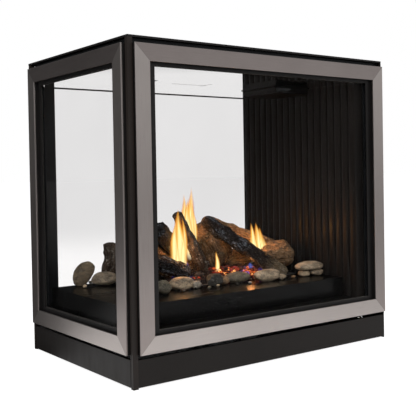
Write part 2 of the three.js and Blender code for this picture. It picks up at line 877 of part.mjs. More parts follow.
// Three-sided doors: each has a steel facing, a frame, a glass and a rope gasket
function doorParts(name, span, leftJamb, rightJamb) {
  const u0 = leftJamb + trimSideGap;
  const u1 = span - rightJamb - trimSideGap;
  const outline = [u0, trimBottom, u1, trimTop];
  const even = (inset, depth) => [inset, inset, depth - trimProud];
  const facing = mitredFrame(outline, [
    even(0, trimThick),
    even(0, trimBevel),
    even(trimBevel, 0),
    even(trimWidth - trimBevel, 0),
    even(trimWidth, trimBevel),
    even(trimWidth, trimThick),
    even(trimWidth - trimSheet, trimThick),
    even(trimWidth - trimSheet, trimSheet),
    even(trimSheet, trimSheet),
    even(trimSheet, trimThick),
  ]);
  const webFront = trimThick + seatGap;
  const borderFront = glassSetback;
  const stileInner = trimWidth + stileBorder;
  const railInner = trimWidth + railBorder;
  const frame = mitredFrame(outline, [
    even(frameInset, frameBackDepth),
    even(frameInset, webFront),
    even(trimWidth, webFront),
    even(trimWidth, borderFront),
    [stileInner, railInner, borderFront - trimProud],
    [stileInner, railInner, borderFront + sheet - trimProud],
    even(trimWidth - sheet, borderFront + sheet),
    even(trimWidth - sheet, webFront + sheet),
    even(frameInset + sheet, webFront + sheet),
    even(frameInset + sheet, frameBackDepth),
  ]);
  const glassFront = borderFront + sheet + seatGap - trimProud;
  const glassInset = stileInner - glassLap;
  const glass = block(
    [u0 + glassInset, glassFront, trimBottom + glassInset],
    [u1 - glassInset, glassFront + glassThick, trimTop - glassInset],
  );
  const ropeFront = glassFront + glassThick + seatGap;
  const ropeBack = Math.min(ropeFront + gasketThick, seatDepth - seatGap);
  const ropeMiddle = (ropeFront + ropeBack) / 2;
  const ropeQuarter = (ropeBack - ropeFront) / 4;
  const ropeOuter = glassInset + gasketInset - railBorder / 2;
  const ropePoint = (inset, depth) => [ropeOuter + inset, ropeOuter + inset, depth];
  const gasket = mitredFrame(outline, [
    ropePoint(0, ropeMiddle + ropeQuarter),
    ropePoint(0, ropeMiddle - ropeQuarter),
    ropePoint(ropeQuarter, ropeFront),
    ropePoint(gasketWidth - ropeQuarter, ropeFront),
    ropePoint(gasketWidth, ropeMiddle - ropeQuarter),
    ropePoint(gasketWidth, ropeMiddle + ropeQuarter),
    ropePoint(gasketWidth - ropeQuarter, ropeBack),
    ropePoint(ropeQuarter, ropeBack),
  ]);
  return [
    part(name + "_door_facing", facing, steelFace),
    part(name + "_door_frame", frame, blackPaint),
    part(name + "_door_glass", glass, ceramicGlass),
    part(name + "_door_gasket", gasket, rope),
  ];
}

// A drop-down access panel: a shallow tray, open behind and below, on two pivot pins
function accessPanel(name, span, leftJamb, rightJamb) {
  const u0 = leftJamb + runGap;
  const u1 = span - rightJamb - runGap;
  const inside = block(
    [u0 + panelSheet, panelFace + panelSheet, panelBottom - overrun],
    [u1 - panelSheet, panelFace + panelReturn + overrun, panelTop - panelSheet],
  );
  const tray = cut(block([u0, panelFace, panelBottom], [u1, panelFace + panelReturn, panelTop]), inside);
  const pinReach = runGap + endSheet;
  const pin = (start) =>
    bar("x", [start, pivotDepth, pivotHeight], pinReach + panelSheet / 2, pivotRadius, pinSides);
  const panel = join(tray, pin(u0 - pinReach), pin(u1 - panelSheet / 2));
  return part(name + "_access_panel", panel, brownPaint);
}

function ribbedKnob(name, x) {
  const front = bracketFront - bezelProud - knobLength - spindleRadius;
  const shape = new THREE.Shape();
  const steps = knobFlutes * arcSteps;
  for (let step = 0; step < steps; step += 1) {
    const turn = (step / steps) * Math.PI * 2;
    const radius = knobRadius - (knobFluteDepth * (1 - Math.cos(turn * knobFlutes))) / 2;
    const at = [x + Math.cos(turn) * radius, controlHeight + Math.sin(turn) * radius];
    if (step === 0) shape.moveTo(...at);
    else shape.lineTo(...at);
  }
  shape.closePath();
  const grip = frontToBack(shape, front, front + knobLength);
  const pointer = block(
    [x - spindleRadius / 2, front - spindleRadius / 2, controlHeight],
    [x + spindleRadius / 2, front + spindleRadius, controlHeight + knobRadius * pointerShare],
  );
  const boreRadius = spindleRadius + spindleClearance;
  const bore = bar("y", [x, front + spindleRadius, controlHeight], knobLength, boreRadius);
  return part(name, cut(join(grip, pointer), bore), knobPlastic);
}

// Control valve: a chamfered casting with two spindles, an inlet and an outlet
function gasValve() {
  const front = bracketFront + bracketSheet + seatGap;
  const back = front + valveDepth;
  const left = valveLeft;
  const right = valveLeft + valveWidth;
  const top = valveBottom + valveHeight;
  const outline = new THREE.Shape(
    [
      [front, valveBottom + valveChamfer],
      [front + valveChamfer, valveBottom],
      [back - valveChamfer, valveBottom],
      [back, valveBottom + valveChamfer],
      [back, top - valveChamfer * 2],
      [back - valveChamfer * 2, top],
      [front, top],
    ].map(([y, z]) => new THREE.Vector2(y, z)),
  );
  const spindleReach = spindleLength + overrun * 2;
  const bodies = [pilotKnobX, flameKnobX].flatMap((x) => [
    bar("y", [x, bracketFront - bezelProud / 2, controlHeight], bezelProud + overrun, bossRadius),
    bar("y", [x, bracketFront - bezelProud - spindleLength, controlHeight], spindleReach, spindleRadius),
  ]);
  const inletNut = gasTubeRadius * inletNutShare;
  const outletNut = burnerTubeRadius * outletNutShare;
  const inletStart = [right - overrun, gasInletY(), controlHeight - overrun];
  const inlet = bar("x", inletStart, nutLength, inletNut, hexSides);
  const outlet = bar("y", [burnerOutletX(), back - overrun, controlHeight], nutLength, outletNut, hexSides);
  return part("gas_valve", join(sideways(outline, left, right), ...bodies, inlet, outlet), aluminium);
}

const gasInletY = () => bracketFront + bracketSheet + seatGap + valveDepth / 2;
const burnerOutletX = () => valveLeft + valveWidth / 2;

// Folded bracket that carries the valve, the igniter housing and the switch housing
function controlBracket() {
  const bottom = sheet + seatGap;
  const section = folded(
    [
      [bracketFront + bracketFoot, bottom],
      [bracketFront, bottom],
      [bracketFront, bracketTop],
    ],
    -bracketSheet,
  );
  const back = bracketFront + bracketSheet;
  const halfWidth = rockerWidth / 2;
  const halfHeight = rockerHeight / 2;
  const igniterHousing = bar(
    "y",
    [igniterX, bracketFront - bezelProud, controlHeight],
    bezelProud + igniterDepth + overrun,
    igniterBezel,
    pipeSides,
  );
  const switchHousing = block(
    [rockerX - halfWidth - rockerBezel, bracketFront - bezelProud, controlHeight - halfHeight - rockerBezel],
    [rockerX + halfWidth + rockerBezel, back + rockerBoxDepth, controlHeight + halfHeight + rockerBezel],
  );
  const holeRadius = bossRadius + runGap;
  const through = sheet + overrun * 2;
  const bossHole = (x) => bar("y", [x, bracketFront - overrun, controlHeight], through, holeRadius);
  const igniterBore = bar(
    "y",
    [igniterX, bracketFront - bezelProud - overrun, controlHeight],
    igniterDepth + overrun + bezelProud,
    igniterRadius + igniterClearance,
    pipeSides,
  );
  const boreFront = bracketFront - overrun * 2;
  const switchBore = block(
    [rockerX - halfWidth - rockerClearance, boreFront, controlHeight - halfHeight - rockerClearance],
    [
      rockerX + halfWidth + rockerClearance,
      back + rockerBoxDepth - sheet,
      controlHeight + halfHeight + rockerClearance,
    ],
  );
  const bracket = cut(
    join(sideways(section, bracketLeft, bracketRight), igniterHousing, switchHousing),
    bossHole(pilotKnobX),
    bossHole(flameKnobX),
    igniterBore,
    switchBore,
  );
  return part("control_bracket", bracket, galvanised);
}

function igniterButton() {
  const front = bracketFront - bezelProud - igniterReach;
  const button = join(
    bar("y", [igniterX, front, controlHeight], igniterReach + igniterDepth / 2, igniterRadius, pipeSides),
    bar("y", [igniterX, front - sheet, controlHeight], sheet * 2, igniterRadius - sheet / 2, pipeSides),
  );
  return part("igniter_button", button, redPlastic);
}

// A two-position rocker, stored with its upper half pressed in
function rockerKey() {
  const halfWidth = rockerWidth / 2;
  const proud = bezelProud + sheet;
  const reach = rockerHeight * rockerReachShare;
  const shoulder = rockerHeight * rockerShoulderShare;
  const outline = new THREE.Shape(
    [
      [-proud, 0],
      [-proud - sheet, reach],
      [shoulder, reach * rockerNarrowShare],
      [rockerHeight * rockerBackShare, 0],
      [shoulder, -reach * rockerNarrowShare],
      [-proud - sheet, -reach],
    ].map(([y, z]) => new THREE.Vector2(y, z)),
  );
  const key = sideways(outline, -halfWidth, halfWidth);
  key.rotateX(-THREE.MathUtils.degToRad(rockerTilt));
  key.translate(rockerX, bracketFront, controlHeight);
  return part("rocker_switch_key", key, knobPlastic);
}

// Quarter-turn shutoff: a turned body with hexagonal ends, a bored inlet and a spindle boss
function shutoffBody() {
  const left = shutoffX - shutoffHalf;
  const ball = shutoffRadius * shutoffBallShare;
  const nipple = bodyWidth - seatGap - (shutoffX + shutoffHalf);
  const inlet = shutoffX + shutoffHalf;
  const spindleFront = leverFront() + seatGap;
  const body = cut(
    join(
      bar("x", [left, shutoffY, shutoffZ], shutoffHalf * 2, shutoffRadius * shutoffHexShare, hexSides),
      bar("x", [shutoffX - ball, shutoffY, shutoffZ], ball * 2, shutoffRadius, pipeSides),
      bar("x", [inlet - overrun, shutoffY, shutoffZ], nipple + overrun, inletRadius, pipeSides),
      bar("y", [shutoffX, spindleFront, shutoffZ], shutoffY - spindleFront, leverSpindle * spindleBossShare),
      bar("y", [shutoffX, leverFront() - leverThick * 2, shutoffZ], shutoffY - leverFront(), leverSpindle),
    ),
    bar("x", [inlet, shutoffY, shutoffZ], nipple + overrun, inletBore, pipeSides),
  );
  return part("shutoff_valve_body", body, brass);
}

const leverFront = () => shutoffY - shutoffRadius - leverThick - sheet;

function shutoffLever() {
  const front = leverFront() - leverThick;
  const through = leverThick + overrun * 2;
  const shape = roundedRectangle(
    shutoffX - leverLength,
    shutoffZ - leverWidth / 2,
    shutoffX + leverWidth / 2,
    shutoffZ + leverWidth / 2,
    leverWidth / 2 - sheet,
  );
  const lever = cut(
    frontToBack(shape, front, front + leverThick),
    bar("y", [shutoffX, front - overrun, shutoffZ], through, leverSpindle + shutterClearance),
  );
  return part("shutoff_lever", lever, redPlastic);
}

// A bent tube through a few points
function bentTube(points, radius, steps) {
  const route = points.map((point) => new THREE.Vector3(...point));
  const curve = new THREE.CatmullRomCurve3(route, false, "centripetal");
  const ring = new THREE.Shape();
  ring.absarc(0, 0, radius, 0, Math.PI * 2);
  const tube = new THREE.ExtrudeGeometry(ring, { ...extruded(0), steps, extrudePath: curve });
  return solidified(tube);
}

function gasSupplyTube() {
  const start = shutoffX - shutoffHalf - seatGap;
  const end = valveLeft + valveWidth + overrun * 2 + seatGap;
  const endY = gasInletY();
  const endZ = controlHeight - overrun;
  const straight = gasTubeRadius * 4;
  const tube = bentTube(
    [
      [start, shutoffY, shutoffZ],
      [start - straight, shutoffY, shutoffZ],
      [(start + end) / 2, (shutoffY + endY) / 2, (shutoffZ + endZ) / 2],
      [end + straight, endY, endZ],
      [end, endY, endZ],
    ],
    gasTubeRadius,
    tubeSides,
  );
  return part("gas_supply_tube", tube, galvanised);
}

const orificeBottom = () => mixerBottom - seatGap - orificeHeight;

function burnerSupplyTube() {
  const startX = burnerOutletX();
  const startY = bracketFront + bracketSheet + seatGap + valveDepth + overrun * 2 + seatGap;
  const end = orificeBottom() - seatGap;
  const bend = burnerTubeBend;
  const low = end - bend * bendShares.low;
  const tube = bentTube(
    [
      [startX, startY, controlHeight],
      [startX, startY + bend, controlHeight],
      [startX + bend * 2, (startY + burnerY) / 2, (controlHeight + low) / 2],
      [(startX + burnerX) / 2, burnerY - bend, low],
      [burnerX - bend * bendShares.start, burnerY, low],
      [burnerX - bend * bendShares.turn, burnerY, low + bend * bendShares.rise],
      [burnerX, burnerY, end - bend * bendShares.rise],
      [burnerX, burnerY, end],
    ],
    burnerTubeRadius,
    ventSides,
  );
  return part("burner_supply_tube", tube, aluminium);
}

function burnerOrifice() {
  const nozzle = orificeRadius / 2;
  const body = turned(
    [
      [0, 0],
      [orificeRadius, 0],
      [orificeRadius, orificeHeight * orificeHexShare],
      [nozzle, orificeHeight * orificeNeckShare],
      [nozzle, orificeHeight],
      [nozzle, orificeHeight + mixerCap],
      [nozzle / 2, orificeHeight + mixerCap * 2],
      [0, orificeHeight + mixerCap * 2],
    ],
    pinSides,
  );
  return part("burner_orifice", body.translate(burnerX, burnerY, orificeBottom()), brass);
}

// Pilot: a folded bracket with a slotted hood, a spark probe and a flame probe
function pilotAssembly() {
  const bottom = platformTop + seatGap;
  const top = bottom + pilotHeight;
  const section = folded(
    [
      [pilotY + pilotDepth, bottom],
      [pilotY, bottom],
      [pilotY, top],
      [pilotY - pilotDepth / 2, top],
    ],
    -burnerSheet,
  );
  const hoodX = pilotX;
  const hoodY = pilotY - pilotDepth / 4;
  const shift = pilotWidth / 3;
  const probeFoot = top - pilotHeight / 2;
  const mouthBottom = top + pilotHeight * hoodMouthShares[0];
  const mouthTop = top + pilotHeight * hoodMouthShares[1];
  const pilot = cut(
    join(
      sideways(section, pilotX - pilotWidth / 2, pilotX + pilotWidth / 2),
      bar("z", [hoodX, hoodY, top - burnerSheet / 2], pilotHeight / 2, pilotHoodRadius, hoodSides),
      bar("z", [hoodX - shift, hoodY, probeFoot], pilotHeight, pilotProbeRadius, probeSides),
      bar("z", [hoodX + shift, hoodY, probeFoot], pilotHeight * probeShare, pilotProbeRadius, probeSides),
    ),
    block(
      [hoodX - pilotHoodRadius / 2, hoodY - pilotHoodRadius - overrun, mouthBottom],
      [hoodX + pilotHoodRadius / 2, hoodY, mouthTop],
    ),
  );
  return part("pilot_assembly", pilot, galvanised);
}

// Ceramic logs: their ends as shares of the burner pan and the pile's height, and their girth as a share
// of the stoutest log's radius
const pileHeight = 260;
const stoutestLog = 50;
const logs = {
  log_low_left: {
    fromShares: [-0.67, 0.029, 0.435],
    toShares: [-0.33, -0.335, 0.142],
    girthShare: 0.56,
    finish: charredLog,
  },
  log_brown_left: {
    fromShares: [-0.679, 0.441, 0.496],
    toShares: [-0.25, 0.324, 0.342],
    girthShare: 1.16,
    finish: brownLog,
  },
  log_charred_round: {
    fromShares: [-0.521, -0.147, 0.788],
    toShares: [-0.282, 0.359, 0.412],
    girthShare: 0.64,
    finish: charredLog,
  },
  log_branch_leaning: {
    fromShares: [-0.389, -0.176, 0.981],
    toShares: [-0.168, -0.135, 0.127],
    girthShare: 0.4,
    finish: barkLog,
  },
  log_mossy: {
    fromShares: [-0.089, 0.582, 0.727],
    toShares: [0.071, 0.324, 0.173],
    girthShare: 1.2,
    finish: brownLog,
  },
  log_charred_long: {
    fromShares: [-0.089, 0.206, 0.85],
    toShares: [0.354, -0.824, 0.046],
    girthShare: 0.52,
    finish: charredLog,
  },
  log_rear_right: {
    fromShares: [0.004, 0.688, 0.812],
    toShares: [0.491, 0.088, 0.404],
    girthShare: 0.52,
    finish: brownLog,
  },
  log_stout_right: {
    fromShares: [0.295, -0.147, 0.242],
    toShares: [0.527, -0.294, 0.288],
    girthShare: 1,
    finish: brownLog,
  },
  log_upright_left: {
    fromShares: [-0.639, 1.124, 0.004],
    toShares: [-0.65, 1.106, 0.565],
    girthShare: 0.5,
    finish: barkLog,
  },
};
const logSides = 12;
const ringPlaces = [0, 0.03, 0.14, 0.3, 0.46, 0.62, 0.78, 0.9, 0.97, 1];
const ringShares = [0.55, 0.86, 1, 0.96, 1.04, 0.98, 1.05, 0.97, 0.84, 0.5];
const bowShare = 0.25;
const ridgeShare = 0.08;
const steepShare = 0.9;
const phaseStep = 1.7;
const ridgeWaves = [3, 5];

// One log as rings about a bowed centre line, with ridges that run along it
function logBody({ fromShares, toShares, girthShare }, phase, grow = 0) {
  const radius = stoutestLog * girthShare;
  const start = inPile(fromShares);
  const along = inPile(toShares).sub(start);
  const direction = along.clone().normalize();
  const steep = Math.abs(direction.z) > steepShare;
  const lean = steep ? new THREE.Vector3(0, 1, 0) : new THREE.Vector3(0, 0, 1);
  const side = direction.clone().cross(lean).normalize();
  const over = side.clone().cross(direction);
  const rings = ringPlaces.map((place, i) => {
    const middle = start.clone().addScaledVector(along, place);
    middle.addScaledVector(over, Math.sin(place * Math.PI) * radius * bowShare * Math.cos(phase));
    middle.addScaledVector(side, Math.sin(place * Math.PI * 2) * radius * bowShare * Math.sin(phase));
    return Array.from({ length: logSides }, (_, j) => {
      const turn = (j / logSides) * Math.PI * 2;
      const broad = Math.sin(turn * ridgeWaves[0] + phase + place * 2);
      const ridges = broad + Math.sin(turn * ridgeWaves[1] - phase) / 2;
      const reach = radius * ringShares[i] * (1 + ridgeShare * ridges) + grow;
      return middle
        .clone()
        .addScaledVector(side, Math.cos(turn) * reach)
        .addScaledVector(over, Math.sin(turn) * reach);
    });
  });
  return loft(rings);
}

// A point among the logs, from its shares of the burner pan and of the pile's height
function inPile([across, back, up]) {
  return new THREE.Vector3(
    burnerX + across * burnerWidth,
    burnerY + back * burnerDepth,
    platformTop + up * pileHeight,
  );
}

// The logs in the order that they are laid, each seated on the bed and in the stones and logs below it
function logPile() {
  const laid = [solidOf(emberBed(seatGap)), ...allStones(seatGap).map(solidOf)];
  return Object.entries(logs).map(([name, log], i) => {
    const phase = i * phaseStep;
    const rest = name === "log_upright_left" || name === "log_charred_long" ? platformTop : rimTopHeight();
    const below = block([0, 0, 0], [bodyWidth, bodyDepth, rest + seatGap]);
    const raw = solidOf(logBody(log, phase)).subtract(solidOf(below));
    const seated = laid.reduce((left, other) => left.subtract(other), raw);
    laid.push(solidOf(logBody(log, phase, seatGap)));
    const whole = seated.decompose().sort((a, b) => b.volume() - a.volume())[0];
    return part(name, geometryOf(whole), log.finish);
  });
}

const rimTopHeight = () => platformTop + seatGap + burnerSheet;

// River stones in groups. A group starts at a share of the platform's width, on its back edge or the burner
// rim's front edge. Each stone's shift, length, depth, height and lift are shares of a large stone's length.
const largeStone = 100;
const stoneGroups = {
  river_stones_left: {
    acrossShare: 0.0623,
    onBackEdge: true,
    finish: greyStone,
    stones: [
      { shiftShares: [0.52, -0.3], sizeShares: [0.92, 0.44, 0.9], turn: -14 },
      { shiftShares: [1.17, -0.72], sizeShares: [0.88, 0.68, 0.46], turn: -24 },
    ],
  },
  river_stones_front_left: {
    acrossShare: 0.2311,
    finish: greyStone,
    stones: [
      { shiftShares: [0, -0.67], sizeShares: [0.56, 0.5, 0.47], turn: 10 },
      { shiftShares: [0.19, -0.42], sizeShares: [0.3, 0.28, 0.26], turn: 30 },
    ],
  },
  river_stones_beige: {
    acrossShare: 0.3403,
    finish: tanStone,
    stones: [
      { shiftShares: [0, -0.26], sizeShares: [0.88, 0.5, 0.46], turn: -12 },
      { shiftShares: [0.51, -0.4], sizeShares: [0.32, 0.3, 0.26], turn: 0 },
    ],
  },
  river_stones_middle: {
    acrossShare: 0.4917,
    finish: greyStone,
    stones: [
      { shiftShares: [0, -0.28], sizeShares: [0.74, 0.46, 0.44], turn: 8 },
      { shiftShares: [0.39, -0.3], sizeShares: [0.4, 0.34, 0.3], turn: 0 },
      { shiftShares: [1.03, -0.24], sizeShares: [1.04, 0.42, 0.38], turn: -8 },
    ],
  },
  river_stones_front: {
    acrossShare: 0.7083,
    finish: tanStone,
    stones: [
      { shiftShares: [0, -0.74], sizeShares: [1.1, 0.46, 0.44], turn: -4 },
      { shiftShares: [0.63, -0.78], sizeShares: [0.36, 0.28, 0.22], turn: 12 },
    ],
  },
  river_stones_right: {
    acrossShare: 1,
    finish: tanStone,
    stones: [
      { shiftShares: [-0.895, -0.74], sizeShares: [0.46, 0.4, 0.26], turn: 0 },
      { shiftShares: [-0.355, -0.84], sizeShares: [0.54, 0.42, 0.26], turn: 15 },
      { shiftShares: [-0.645, -0.82], sizeShares: [1.18, 0.58, 0.34], turn: -6, liftShare: 0.22 },
    ],
  },
};
const stoneAround = 12;
const stoneUp = 8;

function stoneBody({ acrossShare, onBackEdge }, { shiftShares, sizeShares, turn, liftShare = 0 }, grow = 0) {
  const x = platformLeft + acrossShare * platformWidth + shiftShares[0] * largeStone;
  const y = (onBackEdge ? bodyDepth - platformInset : rimFront) + shiftShares[1] * largeStone;
  const halves = sizeShares.map((share) => (share * largeStone) / 2);
  const z = platformTop + seatGap + halves[2] + liftShare * largeStone;
  const stone = new THREE.SphereGeometry(1, stoneAround, stoneUp).rotateX(Math.PI / 2);
  stone.scale(...halves.map((half) => half + grow));
  stone.rotateZ(THREE.MathUtils.degToRad(turn));
  return stone.translate(x, y, z);
}

const allStones = (grow) =>
  Object.values(stoneGroups).flatMap((group) => group.stones.map((stone) => stoneBody(group, stone, grow)));

function stonePiles() {
  return Object.entries(stoneGroups).map(([name, group]) =>
    part(name, join(...group.stones.map((stone) => stoneBody(group, stone))), group.finish),
  );
}

// Doors and access panels, each side built as seen from outside and then turned into place
function side(name, span, leftJamb, rightJamb, [x, y], turn) {
  const group = new THREE.Group();
  group.add(...doorParts(name, span, leftJamb, rightJamb));
  group.add(accessPanel(name, span, leftJamb, rightJamb));
  group.position.set(x, y, 0);
  group.rotation.z = turn;
  return group;
}

const fireplace = new THREE.Group();
fireplace.add(
  basePan(),
  cornerPost("corner_post_front_left", false),
  cornerPost("corner_post_back_left", true),
  endPanel(),
  topCasing(),
  ventCollar("vent_collar_outer", outerVentRadius, bodyHeight + seatGap, bodyHeight + ventRise),
  ventCollar("vent_collar_inner", innerVentRadius, ceilingTop + seatGap, bodyHeight + ventRise),
  fireboxSurround(),
  fireboxShell(),
  flutedLiner(),
  fireboxCeiling(),
  reliefFlap("relief_flap_left", flapCentres[0]),
  reliefFlap("relief_flap_right", flapCentres[1]),
  exhaustBaffle(),
  mediaPlatform(),
  burnerAssembly(),
  airShutter(),
  part("ember_bed", emberBed(), emberMedia),
  gasValve(),
  controlBracket(),
  ribbedKnob("pilot_knob", pilotKnobX),
  ribbedKnob("flame_knob", flameKnobX),
  igniterButton(),
  rockerKey(),
  shutoffBody(),
  shutoffLever(),
  gasSupplyTube(),
  burnerSupplyTube(),
  burnerOrifice(),
  pilotAssembly(),
  ...logPile(),
  ...stonePiles(),
  side("front", bodyWidth, postWidth, endLip, [0, 0], 0),
  side("left", bodyDepth, postWidth, postWidth, [0, bodyDepth], -Math.PI / 2),
  side("back", bodyWidth, endLip, postWidth, [bodyWidth, bodyDepth], Math.PI),
);

// The origin lies under the middle of the whole outline, with the left facing proud of the body
fireplace.position.set(-(bodyWidth - trimProud) / 2, -middleY, 0);

export default fireplace;
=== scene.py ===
"""Looks of the three-sided gas fireplace: finishes for its metalwork, then its logs, stones, embers and flames."""

import math

import bpy
import numpy as np
from mathutils import Matrix, Vector


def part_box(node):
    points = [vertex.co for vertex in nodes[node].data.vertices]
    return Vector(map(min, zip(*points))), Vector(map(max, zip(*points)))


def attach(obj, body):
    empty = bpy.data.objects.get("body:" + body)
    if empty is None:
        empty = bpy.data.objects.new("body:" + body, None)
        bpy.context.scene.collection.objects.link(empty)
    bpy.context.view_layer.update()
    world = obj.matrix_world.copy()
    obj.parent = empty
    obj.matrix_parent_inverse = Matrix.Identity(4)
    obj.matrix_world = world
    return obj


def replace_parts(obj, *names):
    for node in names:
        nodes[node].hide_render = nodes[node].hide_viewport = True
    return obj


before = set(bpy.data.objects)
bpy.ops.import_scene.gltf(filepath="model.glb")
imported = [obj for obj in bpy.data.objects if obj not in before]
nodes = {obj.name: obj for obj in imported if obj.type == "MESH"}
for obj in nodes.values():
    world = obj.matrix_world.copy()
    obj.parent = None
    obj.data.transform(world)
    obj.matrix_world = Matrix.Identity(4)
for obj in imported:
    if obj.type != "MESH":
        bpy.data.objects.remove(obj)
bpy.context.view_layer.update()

MM = 0.001
CORNER = np.array([534.0, 345.0, 0.0])  # the frame's origin, from the casing's front left bottom corner, in mm
PLATFORM_TOP = 225.0


def in_frame(places):
    """Places measured in mm from the casing's front left bottom corner, as metres in the part's frame."""
    return (np.asarray(places, float) - CORNER) * MM


def placed(name, data):
    """An object made of some data and put in the scene."""
    made = bpy.data.objects.new(name, data)
    bpy.context.scene.collection.objects.link(made)
    return made


def around(steps):
    """Evenly spaced turns round a full circle, as one row."""
    return np.linspace(0, 2 * np.pi, steps, endpoint=False)[None, :]


# Noise worked out on whole arrays

AXIS_FACTORS = (374761393, 668265263, 1440662683)
SEED_FACTOR = 974711
SCRAMBLER = np.uint64(1274126177)
LOW_BITS = np.uint64(0xFFFFFFFF)
LAYER_SEED_STEP = 31
LAYER_GAIN = 1.6


def corner_number(ix, iy, iz, seed):
    """A repeatable number from 0 to 1 at whole-number corners: the corner's three numbers and the seed, scrambled."""
    fx, fy, fz = (np.int64(factor) for factor in AXIS_FACTORS)
    mixed = ix * fx + iy * fy + iz * fz + seed * SEED_FACTOR
    mixed = mixed.astype(np.uint64) & LOW_BITS
    mixed = ((mixed ^ (mixed >> np.uint64(13))) * SCRAMBLER) & LOW_BITS
    mixed = mixed ^ (mixed >> np.uint64(16))
    return mixed.astype(float) / float(LOW_BITS)


def soft_noise(x, y, z, seed=0):
    """Smooth noise from 0 to 1: the numbers of the eight corners around a point, blended smoothly on each axis."""
    x, y, z = np.broadcast_arrays(x, y, z)
    ix, iy, iz = (np.floor(c).astype(np.int64) for c in (x, y, z))
    tx, ty, tz = (c - np.floor(c) for c in (x, y, z))
    tx, ty, tz = (t * t * (3 - 2 * t) for t in (tx, ty, tz))
    total = np.zeros(x.shape)
    for a in (0, 1):
        for b in (0, 1):
            for c in (0, 1):
                weight = (tx if a else 1 - tx) * (ty if b else 1 - ty) * (tz if c else 1 - tz)
                total += weight * corner_number(ix + a, iy + b, iz + c, seed)
    return total


def layered_noise(x, y, z, seed, layers):
    """Noise from about -1 to 1: layers of soft noise, each twice as fine and half as strong as the last."""
    total = np.zeros(np.broadcast(x, y, z).shape)
    strength, reach = 1.0, 0.0
    for layer in range(layers):
        k = 2.0**layer
        total += strength * (2 * soft_noise(x * k, y * k, z * k, seed + LAYER_SEED_STEP * layer) - 1)
        reach += strength
        strength *= 0.5
    return total * LAYER_GAIN / reach


# Mesh making


class Shell:
    """Grids of points gathered into one mesh, with a value at each point for every named attribute."""

    def __init__(self):
        self.points, self.faces, self.values, self.count = [], [], {}, 0

    def add(self, grid, closed_ends=True, wrap=True, **values):
        """Adds a grid of rows by columns. Wrapped columns close round, and closed ends turn the first and last rows
        into single points. Faces are turned so that the enclosed volume is positive."""
        rows, columns = grid.shape[:2]
        index = np.arange(rows * columns).reshape(rows, columns)
        right = np.roll(index, -1, axis=1) if wrap else index[:, 1:]
        left = index if wrap else index[:, :-1]
        quads = np.stack([left[:-1], right[:-1], right[1:], left[1:]], axis=-1).reshape(-1, 4)
        flat = grid.reshape(-1, 3)
        triangles = np.concatenate([quads[:, [0, 1, 2]], quads[:, [0, 2, 3]]])
        if closed_ends:
            merged = index.copy()
            merged[0], merged[-1] = index[0, 0], index[-1, 0]
            triangles = merged.reshape(-1)[triangles]
            a, b, c = triangles.T
            triangles = triangles[(a != b) & (b != c) & (a != c)]
        if wrap:
            a, b, c = (flat[triangles[:, k]] for k in range(3))
            middle = flat.mean(axis=0)
            if np.einsum("ij,ij->i", a - middle, np.cross(b - middle, c - middle)).sum() < 0:
                triangles = triangles[:, ::-1]
        self.points.append(flat)
        self.faces.append(triangles + self.count)
        for name, value in values.items():
            value = np.asarray(value, float)
            width = (rows, columns, 3) if value.ndim and value.shape[-1] == 3 else (rows, columns)
            spread = np.broadcast_to(value, width).reshape(rows * columns, -1)
            self.values.setdefault(name, []).append(spread)
        self.count += rows * columns
        return self

    def piece(self, name, material, slot, smooth=True):
        """Makes the mesh object, leaves out points that no face uses, and lets it ride on the casing."""
        points, faces = np.concatenate(self.points), np.concatenate(self.faces)
        used = np.unique(faces)
        renumber = np.zeros(len(points), np.int64)
        renumber[used] = np.arange(len(used))
        mesh = bpy.data.meshes.new(name)
        mesh.vertices.add(len(used))
        mesh.vertices.foreach_set("co", points[used].ravel())
        mesh.loops.add(faces.size)
        mesh.loops.foreach_set("vertex_index", renumber[faces].ravel())
        mesh.polygons.add(len(faces))
        mesh.polygons.foreach_set("loop_start", np.arange(0, faces.size, 3))
        mesh.update(calc_edges=True)
        mesh.polygons.foreach_set("use_smooth", np.full(len(faces), smooth))
        for key, parts in self.values.items():
            value = np.concatenate(parts)[used]
            kind, field = ("FLOAT_VECTOR", "vector") if value.shape[1] == 3 else ("FLOAT", "value")
            held = mesh.attributes.new(key, kind, "POINT")
            held.data.foreach_set(field, value.astype(np.float32).ravel())
        mesh.validate()
        mesh.materials.append(material)
        made = placed(name, mesh)
        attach(made, "fireplace")
        return made


# Node materials

NOISE_LOW, NOISE_HIGH = 0.3, 0.7  # nearly all of a cloudy noise lies between these
SOCKET_TITLES = {"Ior": "IOR", "Specular": "Specular IOR Level"}


